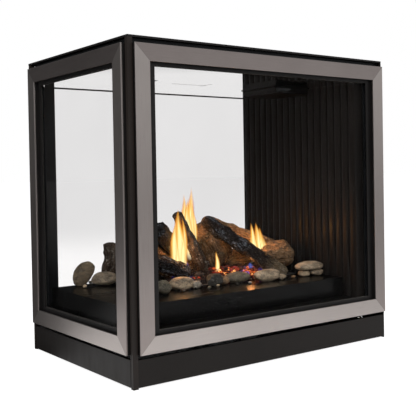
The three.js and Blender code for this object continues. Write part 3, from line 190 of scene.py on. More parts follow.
class Nodes:
    """A node tree, emptied and then filled a node at a time."""

    def __init__(self, tree):
        self.tree = tree
        tree.nodes.clear()

    def fill(self, socket, value):
        """Links a socket to a node's output, or sets it to a number, a direction or a colour."""
        if isinstance(value, bpy.types.NodeSocket):
            self.tree.links.new(value, socket)
        elif isinstance(value, tuple) and len(socket.default_value) == 4:
            socket.default_value = (*value, 1)
        else:
            socket.default_value = value

    def add(self, kind, inputs=None, **settings):
        """Makes a node, sets its settings, and sets or links the inputs named."""
        made = self.tree.nodes.new(kind)
        for key, value in settings.items():
            setattr(made, key, value)
        for key, value in (inputs or {}).items():
            self.fill(made.inputs[key], value)
        return made

    def sum(self, kind, a, b=0):
        """One arithmetic step on one or two numbers."""
        return self.add("ShaderNodeMath", {0: a, 1: b}, operation=kind).outputs[0]

    def times(self, a, b):
        """The product of two numbers."""
        return self.sum("MULTIPLY", a, b)

    def weighted(self, a, weight_a, b, weight_b):
        """The sum of two numbers, each times its weight."""
        return self.sum("ADD", self.times(a, weight_a), self.times(b, weight_b))

    def between(self, share, a, b):
        """A number that goes from a to b as the share goes from 0 to 1."""
        return self.add("ShaderNodeMix", {0: share, 2: a, 3: b}, data_type="FLOAT").outputs[0]

    def spread(self, value, low, high, to_low=0, to_high=1):
        """A number moved from one range to another, held at its ends."""
        inputs = {"Value": value, "From Min": low, "From Max": high, "To Min": to_low, "To Max": to_high}
        return self.add("ShaderNodeMapRange", inputs).outputs["Result"]

    def axes(self, vector):
        """The three numbers of a vector."""
        return self.add("ShaderNodeSeparateXYZ", {0: vector}).outputs

    def dot(self, a, b):
        """How far a vector goes along another."""
        return self.add("ShaderNodeVectorMath", {0: a, 1: b}, operation="DOT_PRODUCT").outputs["Value"]


class Finish(Nodes):
    """A material of nodes around one Principled shader. Sockets given as numbers are set on the shader itself."""

    def __init__(self, name, **sockets):
        self.material = bpy.data.materials.new(name)
        self.material.use_nodes = True
        super().__init__(self.material.node_tree)
        self.output = self.add("ShaderNodeOutputMaterial")
        self.shader = self.add("ShaderNodeBsdfPrincipled")
        self.fill(self.output.inputs["Surface"], self.shader.outputs["BSDF"])
        for socket, value in sockets.items():
            self.put(socket.replace("_", " "), value)
        self.place = self.add("ShaderNodeTexCoord").outputs["Object"]

    def put(self, socket, value):
        """Sets a shader socket to a number or colour, or links it to a node's output."""
        self.fill(self.shader.inputs[SOCKET_TITLES.get(socket, socket)], value)

    def paint(self, colour):
        """Sets or links the base colour."""
        self.put("Base Color", colour)

    def reading(self, where, stretch):
        """Where a pattern is read: the piece's own place or another vector, stretched on the first axis by one number
        or on each axis by three."""
        vector = where or self.place
        if stretch:
            scale = stretch if isinstance(stretch, tuple) else (stretch, 1, 1)
            vector = self.add("ShaderNodeMapping", {"Vector": vector, "Scale": scale}).outputs[0]
        return vector

    def noise(self, scale, detail=4, where=None, roughness=0.55, stretch=None):
        """Cloudy noise from 0 to 1 with so many lumps a metre, and finer lumps in so many layers of detail."""
        vector = self.reading(where, stretch)
        settings = {"Vector": vector, "Scale": scale, "Detail": detail, "Roughness": roughness}
        return self.add("ShaderNodeTexNoise", settings).outputs["Fac"]

    def cells(self, scale, where=None, stretch=None):
        """The distance to the edge of cells, with so many cells a metre."""
        settings = {"Vector": self.reading(where, stretch), "Scale": scale}
        return self.add("ShaderNodeTexVoronoi", settings, feature="DISTANCE_TO_EDGE").outputs["Distance"]

    def shades(self, value, *stops):
        """A colour for each number, from stops of (place, colour)."""
        made = self.add("ShaderNodeValToRGB", {"Fac": value})
        ramp = made.color_ramp
        while len(ramp.elements) < len(stops):
            ramp.elements.new(0.5)
        for element, (place, colour) in zip(ramp.elements, stops):
            element.position = place
            element.color = (*colour, 1)
        return made.outputs["Color"]

    def two_tone(self, noise, dark, light):
        """A colour that goes from dark to light over the range of a noise."""
        return self.shades(noise, (NOISE_LOW, dark), (NOISE_HIGH, light))

    def rough(self, noise, smooth, dull):
        """Sets a roughness that goes from smooth to dull over the range of a noise."""
        self.put("Roughness", self.spread(noise, NOISE_LOW, NOISE_HIGH, smooth, dull))

    def blend(self, share, a, b, way="MIX"):
        """Two colours mixed by a share."""
        return self.add("ShaderNodeMix", {0: share, 6: a, 7: b}, data_type="RGBA", blend_type=way).outputs[2]

    def grey(self, tone):
        """A number as a grey."""
        return self.add("ShaderNodeCombineColor", {0: tone, 1: tone, 2: tone}).outputs[0]

    def relief(self, height, depth, strength=1):
        """Bump from a height of 0 to 1 that stands for so many metres, on top of any bump before it."""
        inputs = {"Height": height, "Distance": depth, "Strength": strength}
        before = self.shader.inputs["Normal"]
        if before.is_linked:
            inputs["Normal"] = before.links[0].from_socket
        self.fill(before, self.add("ShaderNodeBump", inputs).outputs["Normal"])

    def held(self, name, output="Fac"):
        """A value that the piece holds at each point."""
        return self.add("ShaderNodeAttribute", attribute_name=name).outputs[output]


BRUSH_LINES = 900  # brush lines a metre
BRUSH_LENGTHS = 9  # lengths of a brush line a metre
MITRE_LINE = 0.0009


def brushed_steel_with_painted_reflection(name, across, low, high, bottom, top):
    """Satin steel brushed along each member of a mitred facing: upright on the stiles, where a side edge is nearer than
    the top or bottom edge, and across elsewhere. Its colour carries a painted reflection: paler towards the bottom of
    the rails and the top of the stiles, and deeper towards their other ends."""
    f = Finish(name, Metallic=1)
    parts = f.axes(f.place)
    along, height = parts[across], parts[2]
    to_side = f.sum("MINIMUM", f.sum("SUBTRACT", along, low), f.sum("SUBTRACT", high, along))
    to_rail = f.sum("MINIMUM", f.sum("SUBTRACT", height, bottom), f.sum("SUBTRACT", top, height))
    stile = f.sum("LESS_THAN", to_side, to_rail)
    brushed = []
    for lines_along, lines_up in ((BRUSH_LENGTHS, BRUSH_LINES), (BRUSH_LINES, BRUSH_LENGTHS)):
        inputs = {0: f.times(along, lines_along), 1: f.times(height, lines_up)}
        where = f.add("ShaderNodeCombineXYZ", inputs).outputs[0]
        brushed.append(f.noise(1, 3, where=where, roughness=0.7))
    lines = f.between(stile, *brushed)
    tone = f.weighted(lines, 0.6, f.noise(5, 3), 0.4)
    # Painted reflection: the pale and the deep steel below stand in for lighter and darker reflection, blended by
    # height on the rails and the stiles.
    pale = f.two_tone(tone, (0.4, 0.36, 0.342), (0.5, 0.455, 0.435))
    deep = f.two_tone(tone, (0.26, 0.225, 0.215), (0.35, 0.305, 0.292))
    rise = f.spread(height, bottom, top)
    colour = f.blend(stile, f.blend(rise, pale, deep), f.blend(rise, deep, pale))
    mitre = f.spread(f.sum("ABSOLUTE", f.sum("SUBTRACT", to_side, to_rail)), 0, MITRE_LINE)
    f.paint(f.blend(mitre, (0.16, 0.15, 0.145), colour))
    f.put("Roughness", f.spread(lines, 0.25, 0.75, 0.26, 0.4))
    f.relief(lines, 0.00006)
    return f.material


def two_noise_finish(name, tone, dark, light, wear, smooth, dull, skin=None, depth=0, **sockets):
    """Goes from dark to light over one noise and from smooth to dull over another, with a third for relief. Each is
    given as lumps a metre and layers of detail."""
    f = Finish(name, **sockets)
    f.paint(f.two_tone(f.noise(*tone), dark, light))
    f.rough(f.noise(*wear), smooth, dull)
    if skin:
        f.relief(f.noise(*skin), depth)
    return f.material


def moulded_plastic(name, dark, light, roughness):
    """Moulded plastic with a fine spark-eroded texture."""
    wear = (300, 2), roughness - 0.04, roughness + 0.06
    return two_noise_finish(name, (90, 3), dark, light, *wear, (1500, 2), 0.00004, Specular=0.5)


def powder_coat(name, dark, light, roughness, gloss):
    """Baked powder coat: a fine orange-peel surface, a slow drift of tone and faint handling marks."""
    f = Finish(name, Specular=gloss)
    marks = f.noise(40, 5, stretch=(1, 1, 0.25))
    f.paint(f.two_tone(f.weighted(f.noise(3.5, 3), 0.7, marks, 0.3), dark, light))
    f.rough(marks, roughness - 0.05, roughness + 0.07)
    f.relief(f.noise(900, 2), 0.00004)
    return f.material


def liner_enamel():
    """Semi-gloss heat-proof enamel of the fluted end, dusted with a little soot towards the top."""
    f = Finish("heat_proof_enamel", Specular=0.2)
    soot = f.times(f.spread(f.axes(f.place)[2], 0.25, 0.95), f.noise(6, 4))
    cloud = f.noise(9, 4, stretch=(1, 1, 0.3))
    base = f.two_tone(cloud, (0.0075, 0.0063, 0.0055), (0.0125, 0.0102, 0.0088))
    f.paint(f.blend(soot, base, (0.006, 0.0054, 0.005)))
    f.put("Roughness", f.spread(soot, 0, 0.8, 0.34, 0.52))
    f.relief(f.noise(700, 2), 0.00003)
    return f.material


def gloss_enamel():
    """High-gloss black enamel of the media platform, with faint dust and fine wiping marks."""
    f = Finish("gloss_black_enamel", Specular=0.2)
    dust = f.noise(55, 6)
    wipe = f.noise(30, 4, stretch=0.15)
    f.paint(f.shades(dust, (0.45, (0.002, 0.002, 0.002)), (0.8, (0.007, 0.0066, 0.0064))))
    f.put("Roughness", f.spread(wipe, 0.3, 0.75, 0.18, 0.3))
    f.relief(f.noise(8, 2), 0.0004, 0.25)
    return f.material


HEAD_BOTTOM = 0.93
COLUMN_EAST = -0.443
COLUMN_NORTH = 0.254


def surround_coat():
    """Inner black coat of the surround. Its head is polished like the ceiling beside it, but only between the columns
    and where it faces inwards or down: its normal then points against its own place in plan, or downwards."""
    f = Finish("inner_black_coat_polished_head", Specular=0.3)
    east, north, height = f.axes(f.place)
    normal = f.add("ShaderNodeTexCoord").outputs["Normal"]
    plan = f.add("ShaderNodeVectorMath", {0: f.place, 1: (1, 1, 0)}, operation="MULTIPLY").outputs["Vector"]
    inwards = f.sum("LESS_THAN", f.dot(normal, plan), -0.05)
    downwards = f.sum("LESS_THAN", f.axes(normal)[2], -0.5)
    beside = f.sum("GREATER_THAN", f.sum("ABSOLUTE", north), COLUMN_NORTH)
    column = f.times(f.sum("LESS_THAN", east, COLUMN_EAST), beside)
    head = f.times(f.sum("GREATER_THAN", height, HEAD_BOTTOM), f.sum("MAXIMUM", inwards, downwards))
    head = f.times(head, f.sum("SUBTRACT", 1, column))
    coat = f.two_tone(f.noise(3.5, 3), (0.0075, 0.0085, 0.01), (0.012, 0.0135, 0.0155))
    f.paint(f.blend(head, coat, (0.96, 0.955, 0.95)))
    f.put("Metallic", head)
    f.put("Roughness", f.spread(head, 0, 1, 0.6, 0.02))
    return f.material


def galvanised():
    """Zinc-coated sheet: a spangle of crystals, each a slightly different grey."""
    f = Finish("zinc_coated_sheet", Metallic=0.9)
    crystals = f.add("ShaderNodeTexVoronoi", {"Vector": f.place, "Scale": 110}, feature="F1").outputs["Color"]
    tone = f.add("ShaderNodeSeparateColor", {0: crystals}).outputs[0]
    f.paint(f.shades(tone, (0.1, (0.34, 0.35, 0.36)), (0.9, (0.5, 0.51, 0.52))))
    f.put("Roughness", f.spread(tone, 0, 1, 0.32, 0.48))
    f.relief(f.noise(160, 3), 0.00006)
    return f.material


def turned_brass():
    """Machined brass with fine tool lines and a warmer tarnish in places."""
    f = Finish("turned_brass", Metallic=1)
    lines = f.noise(1, 2, stretch=(2500, 90, 90))
    f.paint(f.shades(f.noise(60, 4), (0.35, (0.46, 0.31, 0.12)), (0.7, (0.68, 0.5, 0.22))))
    f.rough(lines, 0.22, 0.36)
    f.relief(lines, 0.00003)
    return f.material


STRAND_TURN = 1500  # radians a metre


def woven_rope():
    """Round woven rope of glass fibre: strands crossing on two slants, grey with darker gaps."""
    f = Finish("woven_gasket_rope", Specular=0.2)
    east, north, height = f.axes(f.place)
    flat = f.sum("ADD", east, north)
    one, two = (f.sum("SINE", f.times(f.sum(way, flat, height), STRAND_TURN)) for way in ("ADD", "SUBTRACT"))
    weave = f.spread(f.sum("MAXIMUM", one, two), -1, 1)
    fuzz = f.noise(500, 4)
    tone = f.weighted(weave, 0.7, fuzz, 0.3)
    f.paint(f.shades(tone, (0.2, (0.02, 0.019, 0.018)), (0.8, (0.085, 0.08, 0.075))))
    f.rough(fuzz, 0.85, 0.95)
    f.relief(weave, 0.0006)
    return f.material


def ceramic_glass():
    """Clear ceramic glass: barely reflecting, with a faint bloom of haze, and no shadow of its own."""
    f = Finish("ceramic_glass", Ior=1.06, Transmission_Weight=1)
    haze = f.noise(3, 5)
    f.paint(f.shades(haze, (0.3, (0.975, 0.97, 0.97)), (0.75, (0.945, 0.94, 0.94))))
    f.put("Roughness", f.spread(haze, 0.45, 0.85, 0, 0.003))
    shadow = f.add("ShaderNodeLightPath").outputs["Is Shadow Ray"]
    clear = f.add("ShaderNodeBsdfTransparent", {0: (0.97, 0.97, 0.97)}).outputs[0]
    mixed = f.add("ShaderNodeMixShader", {0: shadow, 1: f.shader.outputs["BSDF"], 2: clear})
    f.fill(f.output.inputs["Surface"], mixed.outputs[0])
    return f.material


def charred_wood():
    """Ceramic painted as charred wood: black blocks parted by cracks, blue-white ash and brown unburnt wood."""
    f = Finish("charred_wood", Specular=0.25)
    grain, bare = f.held("grain", "Vector"), f.held("bare")
    blocks = f.cells(95, where=grain, stretch=0.6)
    fine = f.noise(260, 5, where=grain, stretch=0.35)
    drift = f.noise(34, 4, where=grain, stretch=0.5)
    base = f.shades(fine, (0.32, (0.007, 0.0062, 0.006)), (0.55, (0.03, 0.0265, 0.0255)), (0.72, (0.09, 0.08, 0.076)))
    brown = f.shades(fine, (0.32, (0.028, 0.018, 0.011)), (0.7, (0.115, 0.075, 0.046)))
    tan = f.shades(fine, (0.32, (0.045, 0.033, 0.019)), (0.5, (0.12, 0.092, 0.056)), (0.7, (0.24, 0.19, 0.125)))
    ash = f.times(f.spread(drift, 0.5, 0.62), f.spread(fine, 0.46, 0.6))
    colour = f.blend(f.spread(f.noise(17, 4), 0.56, 0.66), base, brown)
    colour = f.blend(f.times(ash, 0.75), colour, (0.27, 0.31, 0.365))
    colour = f.blend(bare, colour, tan)
    whole = f.sum("MAXIMUM", f.spread(blocks, 0, 0.13), bare)
    f.paint(f.blend(whole, (0.006, 0.005, 0.005), colour))
    f.rough(fine, 0.62, 0.9)
    f.relief(whole, 0.003)
    f.relief(fine, 0.0026)
    return f.material


def weathered_wood():
    """Ceramic painted as old wood: brown and gold fibres, mossy hollows, scorched black in places, pale specks."""
    f = Finish("weathered_wood", Specular=0.25)
    grain, fresh = f.held("grain", "Vector"), f.held("bare")
    fibre = f.noise(210, 5, where=grain, stretch=0.16)
    warm = f.shades(fibre, (0.32, (0.03, 0.018, 0.01)), (0.52, (0.115, 0.069, 0.036)), (0.7, (0.24, 0.155, 0.09)))
    tan = f.shades(fibre, (0.32, (0.075, 0.042, 0.02)), (0.52, (0.23, 0.138, 0.07)), (0.7, (0.42, 0.28, 0.165)))
    mossy = f.shades(fibre, (0.32, (0.022, 0.018, 0.011)), (0.7, (0.12, 0.096, 0.057)))
    colour = f.blend(f.spread(f.noise(26, 4), 0.44, 0.6), warm, mossy)
    colour = f.blend(fresh, colour, tan)
    burnt = f.spread(f.noise(19, 5, where=grain, stretch=0.6), 0.53, 0.64)
    scorch = f.times(burnt, f.spread(fresh, 0, 1, 1, 0.25))
    colour = f.blend(scorch, colour, (0.014, 0.012, 0.011))
    dots = f.spread(f.noise(150, 4), 0.57, 0.63)
    colour = f.blend(f.times(dots, 0.75), colour, (0.022, 0.017, 0.013))
    specks = f.spread(f.noise(330, 3), 0.6, 0.68)
    f.paint(f.blend(f.times(specks, 0.7), colour, (0.3, 0.26, 0.2)))
    f.rough(fibre, 0.65, 0.9)
    f.relief(fibre, 0.003)
    f.relief(f.spread(f.cells(60, where=grain, stretch=0.3), 0, 0.12), 0.001)
    return f.material


def furrowed_bark():
    """Ceramic painted as bark: dark brown furrows along the limb, pale lichen flecks on the ridges and worn rings."""
    f = Finish("furrowed_bark", Specular=0.25)
    grain = f.held("grain", "Vector")
    furrow = f.noise(150, 5, where=grain, stretch=0.2, roughness=0.65)
    colour = f.shades(furrow, (0.32, (0.01, 0.0075, 0.006)), (0.52, (0.045, 0.03, 0.02)), (0.7, (0.11, 0.078, 0.055)))
    flecks = f.times(f.spread(f.noise(120, 4), 0.57, 0.63), f.spread(furrow, 0.46, 0.56))
    whorl = f.noise(24, 1, where=grain, stretch=0.7)
    rings = f.spread(f.sum("SINE", f.times(whorl, 150)), 0.55, 0.95)
    worn = f.times(rings, f.spread(f.noise(30, 3), 0.46, 0.6))
    pale = f.sum("MAXIMUM", f.times(flecks, 0.8), f.times(worn, 0.6))
    f.paint(f.blend(pale, colour, (0.32, 0.295, 0.255)))
    f.rough(furrow, 0.68, 0.92)
    f.relief(furrow, 0.004)
    return f.material


def river_stone():
    """River stone: each stone's own tint, darker mineral bands and a fine salt-and-pepper fleck, worn smooth."""
    f = Finish("river_worn_stone", Specular=0.4)
    bands = f.noise(38, 5, stretch=(1, 1, 2.4))
    fleck = f.noise(520, 3)
    shaded = f.blend(1, f.held("tint", "Color"), f.grey(f.spread(bands, 0.34, 0.66, 0.42, 1.5)), "MULTIPLY")
    spots = f.spread(f.noise(150, 4), 0.56, 0.62, 0, 0.6)
    dark = f.blend(f.sum("MAXIMUM", spots, f.spread(fleck, 0.55, 0.63, 0, 0.6)), shaded, (0.035, 0.03, 0.026))
    f.paint(f.blend(f.spread(fleck, 0.42, 0.35, 0, 0.45), dark, (0.62, 0.58, 0.5)))
    f.rough(bands, 0.38, 0.6)
    f.relief(f.noise(190, 4), 0.0006)
    return f.material


def glowing_embers():
    """Mineral embers: each lump's own dark tint, and its own glow broken up by cooler crust."""
    f = Finish("glowing_embers", Specular=0.2)
    crust = f.noise(190, 4)
    tone = f.grey(f.spread(crust, NOISE_LOW, NOISE_HIGH, 0.45, 1.5))
    f.paint(f.blend(1, f.held("tint", "Color"), tone, "MULTIPLY"))
    f.rough(crust, 0.7, 0.95)
    hot = f.spread(crust, 0.36, 0.6)
    heat = f.add("ShaderNodeCombineColor", {0: hot, 1: f.sum("POWER", hot, 1.5), 2: f.sum("POWER", hot, 1.7)})
    f.put("Emission Color", f.blend(1, f.held("glow", "Color"), heat.outputs[0], "MULTIPLY"))
    f.put("Emission Strength", 1.5)
    f.relief(crust, 0.0015)
    return f.material


def gas_flame():
    """A burning gas flame: each point's own glow and thickness, wavering a little with height."""
    f = Finish("gas_flame", Specular=0, Roughness=1)
    f.paint((0, 0, 0))
    waver = f.noise(42, 2, stretch=(1, 1, 0.3))
    f.put("Alpha", f.times(f.held("thickness"), f.spread(waver, 0.3, 0.6, 0.72, 1)))
    f.put("Emission Color", f.held("glow", "Color"))
    f.put("Emission Strength", 1.12)
    return f.material


# The solids' own pieces, dressed in their finishes


def dress(material, *names):
    """Gives a material to every slot of the CAD nodes named."""
    for name in names:
        node = nodes[name]
        if not node.material_slots:
            node.data.materials.append(material)
        for slot in node.material_slots:
            slot.material = material


def facing_steel(node, across):
    """Brushed steel with its mitres at the corners of a facing's own box, and its painted reflection graded over that
    box's height.
    """
    low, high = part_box(node)
    return brushed_steel_with_painted_reflection("brushed_steel_with_painted_reflection_" + node, across, low[across], high[across], low[2], high[2])


coat_black = powder_coat("black_powder_coat", (0.006, 0.0055, 0.0054), (0.011, 0.0098, 0.0096), 0.42, 0.2)
coat_bronze = powder_coat("dark_bronze_powder_coat", (0.0125, 0.0092, 0.0078), (0.019, 0.0145, 0.0125), 0.36, 0.2)
coat_panel = powder_coat("charcoal_powder_coat", (0.0095, 0.0079, 0.0072), (0.0145, 0.0121, 0.011), 0.42, 0.16)
coat_inner = powder_coat("inner_black_coat", (0.0035, 0.0033, 0.0032), (0.0065, 0.006, 0.0058), 0.6, 0.15)
zinc = galvanised()
glass = ceramic_glass()
rope = woven_rope()
black_plastic = moulded_plastic("black_knob_plastic", (0.012, 0.012, 0.012), (0.022, 0.022, 0.023), 0.4)
mirror_sheet = two_noise_finish(
    "polished_ceiling_sheet", (4, 3), (0.95, 0.945, 0.94), (0.98, 0.978, 0.975), (70, 4), 0.01, 0.03, Metallic=1
)
pebbled_casting = two_noise_finish(
    "die_cast_aluminium", (420, 4), (0.42, 0.42, 0.43), (0.62, 0.62, 0.63), (40, 4), 0.38, 0.5, (420, 4), 0.00012,
    Metallic=0.9,
)
red_plastic = moulded_plastic("red_control_plastic", (0.4, 0.02, 0.015), (0.55, 0.035, 0.025), 0.28)

for side, across in (("front", 0), ("left", 1), ("back", 0)):
    dress(facing_steel(side + "_door_facing", across), side + "_door_facing")
    dress(coat_black, side + "_door_frame")
    dress(glass, side + "_door_glass")
    dress(rope, side + "_door_gasket")
    dress(coat_panel, side + "_access_panel")
dress(coat_bronze, "corner_post_front_left", "corner_post_back_left")
dress(coat_black, "end_panel", "top_casing")
dress(surround_coat(), "firebox_surround")
dress(coat_inner, "firebox_shell")
dress(liner_enamel(), "end_liner_fluted", "exhaust_baffle")
dress(gloss_enamel(), "media_platform")
dress(mirror_sheet, "firebox_ceiling", "relief_flap_left", "relief_flap_right")
dress(zinc, "base_pan", "vent_collar_outer", "vent_collar_inner", "burner_assembly", "control_bracket")
dress(zinc, "gas_supply_tube", "pilot_assembly", "air_shutter")
dress(pebbled_casting, "gas_valve", "burner_supply_tube")
dress(turned_brass(), "shutoff_valve_body", "burner_orifice")
dress(black_plastic, "pilot_knob", "flame_knob", "rocker_switch_key")
dress(red_plastic, "igniter_button", "shutoff_lever")


# Logs

LOG_ROWS = 190
LOG_COLUMNS = 120
CAP_ROWS = 7
RING_PLACES = (0, 0.03, 0.14, 0.3, 0.46, 0.62, 0.78, 0.9, 0.97, 1)
RING_SHARES = (0.55, 0.86, 1, 0.96, 1.04, 0.98, 1.05, 0.97, 0.84, 0.5)
RING_SMOOTHING = 21  # rows over which the shares are evened out, except near the ends
RING_ENDS = (0.05, 0.95)
BOW_SHARE = 0.25
PHASE_STEP = 1.7
RIDGE_SHARE = 0.08
# Noises of a log: length and width of a lump as shares of the radius, first seed, layers
GRAIN_NOISE = (1.6, 0.3, 11, 4)
LUMP_NOISE = (1.1, 0.9, 47, 3)
SPLIT_NOISE = (0.75, 0.5, 91, 3)
END_NOISE = (0.5, 3.0, 71, 3)  # its second number is in lumps for each length of the log
CRACK_WIDTH = 0.07
KNOT_HOLE = (0.6, 7)  # how deep the hole in a knot is for each part of its height, and how much narrower
CAP_DISH = 0.12
CAP_ROUGHNESS = 0.1
BARE_PLACES = (0, 0.15, 0.72, 0.86, 1)


def unit(v):
    """A direction of length one."""
    return v / np.linalg.norm(v)


def log_piece(name, seed, start, end, radius, look, strengths, knots=(), bare=(0, 0)):
    """A log as a surface of place along it and turn around it, about a middle line with a slow bow. Its reach is the
    radius times a share that swells along it, times one plus ridges, noise stretched along the grain and a hump for
    each knot, less a groove wherever another noise crosses its middle value. Dished caps close its ends, and the share
    of bare wood changes mostly over its last third."""
    start, end = in_frame(start), in_frame(end)
    furrows, lumps, cracks = strengths
    r = radius * MM
    axis = unit(end - start)
    length = np.linalg.norm(end - start)
    up = np.array([0.0, 1.0, 0.0]) if abs(axis[2]) > 0.9 else np.array([0.0, 0.0, 1.0])
    side = unit(np.cross(axis, up))
    over = np.cross(side, axis)
    phase = seed * PHASE_STEP

    body = np.linspace(0, 1, LOG_ROWS)
    cap = np.linspace(0, 1, CAP_ROWS, endpoint=False)
    p = np.concatenate([np.zeros(CAP_ROWS), body, np.ones(CAP_ROWS)])[:, None]
    close = np.concatenate([cap, np.ones(LOG_ROWS), cap[::-1]])[:, None]
    dish = np.concatenate([1 - cap, np.zeros(LOG_ROWS), cap[::-1] - 1])[:, None]
    t = around(LOG_COLUMNS)
    gx, gy, gz = p * length, r * np.cos(t), r * np.sin(t)

    ripple = np.interp(body, RING_PLACES, RING_SHARES)
    kernel = np.hanning(RING_SMOOTHING) / np.hanning(RING_SMOOTHING).sum()
    smooth = np.convolve(np.pad(ripple, RING_SMOOTHING // 2, mode="edge"), kernel, mode="valid")
    inner = (p > RING_ENDS[0]) & (p < RING_ENDS[1])
    share = np.where(inner, np.interp(p, body, smooth), np.interp(p, RING_PLACES, RING_SHARES))

    def surface_noise(long, wide, first_seed, layers):
        return layered_noise(gx / (r * long), gy / (r * wide), gz / (r * wide), first_seed + seed, layers)

    ridges = RIDGE_SHARE * (np.sin(3 * t + phase + 2 * p) + 0.5 * np.sin(5 * t - phase))
    groove = np.exp(-((surface_noise(*SPLIT_NOISE) / CRACK_WIDTH) ** 2))
    relief = 1 + ridges + furrows * surface_noise(*GRAIN_NOISE) + lumps * surface_noise(*LUMP_NOISE) - cracks * groove
    for place, turn, height, width in knots:
        across = np.angle(np.exp(1j * (t - turn))) * r
        near = ((gx - place * length) ** 2 + across**2) / (width * r) ** 2
        relief = relief + height * np.exp(-near) - KNOT_HOLE[0] * height * np.exp(-near * KNOT_HOLE[1])
    reach = r * share * relief * close

    centre = start + (end - start) * p[..., None]
    centre = centre + over * (np.sin(np.pi * p) * r * BOW_SHARE * np.cos(phase))[..., None]
    centre = centre + side * (np.sin(2 * np.pi * p) * r * BOW_SHARE * np.sin(phase))[..., None]
    wide, lumps_along, first_seed, layers = END_NOISE
    rough_end = layered_noise(gy / (r * wide), gz / (r * wide), p * lumps_along, first_seed + seed, layers)
    rough_end = CAP_ROUGHNESS * r * rough_end * np.abs(dish)
    centre = centre + axis * (dish * r * CAP_DISH + rough_end)[..., None]
    grid = centre + reach[..., None] * (side * np.cos(t)[..., None] + over * np.sin(t)[..., None])

    along = np.broadcast_to(gx, reach.shape)
    grain = np.stack([along + seed, reach * np.cos(t), reach * np.sin(t)], axis=-1)
    unburnt = np.interp(p, BARE_PLACES, (bare[0], bare[0], bare[0], bare[1], bare[1])) + 0 * t
    return Shell().add(grid, grain=grain, bare=unburnt).piece(name, look, LOG_SLOTS[look])


char = charred_wood()
wood = weathered_wood()
bark = furrowed_bark()
LOG_SLOTS = {char: "charred_log", wood: "brown_log", bark: "bark_log"}

# Each log: start and end of its middle line and its radius in mm, its look, how strong its furrows, lumps and cracks
# are, its knots as (place along it, turn, height, width), and the share of bare wood at its start and end
LOGS = {
    "log_low_left": (
        (235, 380, 338), (425, 318, 262), 28, char, (0.11, 0.09, 0.09),
        ((0.3, 1.0, 0.2, 0.5),), (0, 0.1),
    ),
    "log_brown_left": (
        (230, 450, 354), (470, 430, 314), 58, wood, (0.1, 0.15, 0.06),
        ((0.55, 1.2, 0.18, 0.5), (0.8, 2.2, 0.15, 0.4)), (0.7, 0.7),
    ),
    "log_charred_round": (
        (318, 350, 430), (452, 436, 332), 32, char, (0.08, 0.08, 0.12),
        (), (0, 0),
    ),
    "log_branch_leaning": (
        (392, 345, 480), (516, 352, 258), 20, bark, (0.17, 0.1, 0.05),
        ((0.35, 3.6, 0.25, 0.6),), (0, 0),
    ),
    "log_mossy": (
        (560, 474, 414), (650, 430, 270), 60, wood, (0.11, 0.14, 0.07),
        ((0.3, 4.2, 0.2, 0.5), (0.7, 2.6, 0.2, 0.4)), (0.25, 0.0),
    ),
    "log_charred_long": (
        (560, 410, 446), (808, 235, 237), 26, char, (0.13, 0.12, 0.1),
        ((0.25, 1.4, 0.3, 0.6), (0.62, 4.8, 0.22, 0.5)), (0, 0.85),
    ),
    "log_rear_right": (
        (612, 492, 436), (885, 390, 330), 26, wood, (0.11, 0.12, 0.06),
        ((0.4, 1.0, 0.2, 0.6),), (1, 0.8),
    ),
    "log_stout_right": (
        (775, 350, 288), (905, 325, 300), 50, wood, (0.09, 0.12, 0.06),
        ((0.35, 4.4, 0.15, 0.4),), (1, 0.7),
    ),
    "log_upright_left": (
        (252, 566, 226), (246, 563, 372), 25, bark, (0.15, 0.14, 0.05),
        ((0.72, 4.4, 0.3, 0.6),), (0, 0),
    ),
}
for seed, (name, row) in enumerate(LOGS.items()):
    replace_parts(log_piece(name, seed, *row), name)

# Dark stumps that fill the gaps behind the embers
STUBS = {
    "char_stub_left": ((500, 442, 258), (503, 426, 356), 42, wood),
    "char_stub_middle": ((548, 428, 262), (584, 412, 268), 21, char),
    "char_stub_right": ((662, 440, 292), (790, 428, 294), 37, wood),
    "char_stub_low": ((330, 428, 258), (418, 432, 262), 24, char),
}
FIRST_STUB_SEED = 11
STUB_STRENGTHS = (0.12, 0.16, 0.1)
for seed, (name, row) in enumerate(STUBS.items(), FIRST_STUB_SEED):
    log_piece(name, seed, *row, STUB_STRENGTHS)


# Stones

STONE_ROWS = 44
STONE_COLUMNS = 72
STONE_REST = 225.3
SQUARENESS = 0.86
STONE_LUMPS = 0.1
STONE_SUNK = 0.94  # share of the half height at which the middle stands


def squared(v):
    """A sine or cosine pushed outwards, which squares a round outline off a little."""
    return np.sign(v) * np.abs(v) ** SQUARENESS


def stone(shell, centre, size, turn, tint, seed, lift=0, lean=0):
    """Adds one stone: an egg of latitude and longitude, squared off a little by a power of its sine and cosine, pushed
    in and out by slow noise, scaled to its size, leant and turned, and flattened where it meets the platform."""
    lat = np.linspace(-np.pi / 2, np.pi / 2, STONE_ROWS)[:, None]
    lon = around(STONE_COLUMNS)
    x = squared(np.cos(lat)) * squared(np.cos(lon))
    y = squared(np.cos(lat)) * squared(np.sin(lon))
    z = squared(np.sin(lat)) + 0 * lon
    swell = 1 + STONE_LUMPS * layered_noise(x * 1.1, y * 1.1, z * 1.1, seed, 2)
    swell = swell + 0.025 * layered_noise(x * 4, y * 4, z * 4, seed + 5, 3)
    egg = 1 + 0.12 * x * math.sin(seed)
    points = np.stack([x * swell, y * swell * egg, z * swell], axis=-1) * np.array(size) / 2
    tilt = Matrix.Rotation(math.radians(turn), 3, "Z") @ Matrix.Rotation(math.radians(lean), 3, "Y")
    points = points @ np.array(tilt).T
    points[..., 2] += STONE_REST + (points[..., 2].max() - points[..., 2].min()) / 2 * STONE_SUNK + lift
    points[..., :2] += np.array(centre)
    points[..., 2] = np.maximum(points[..., 2], STONE_REST + lift)
    shade = np.array(tint) * (1 + 0.35 * layered_noise(x * 1.3, y * 1.3, z * 2.2, seed + 9, 3))[..., None]
    shell.add(in_frame(points), tint=np.clip(shade, 0.01, 0.95))


worn_stone = river_stone()

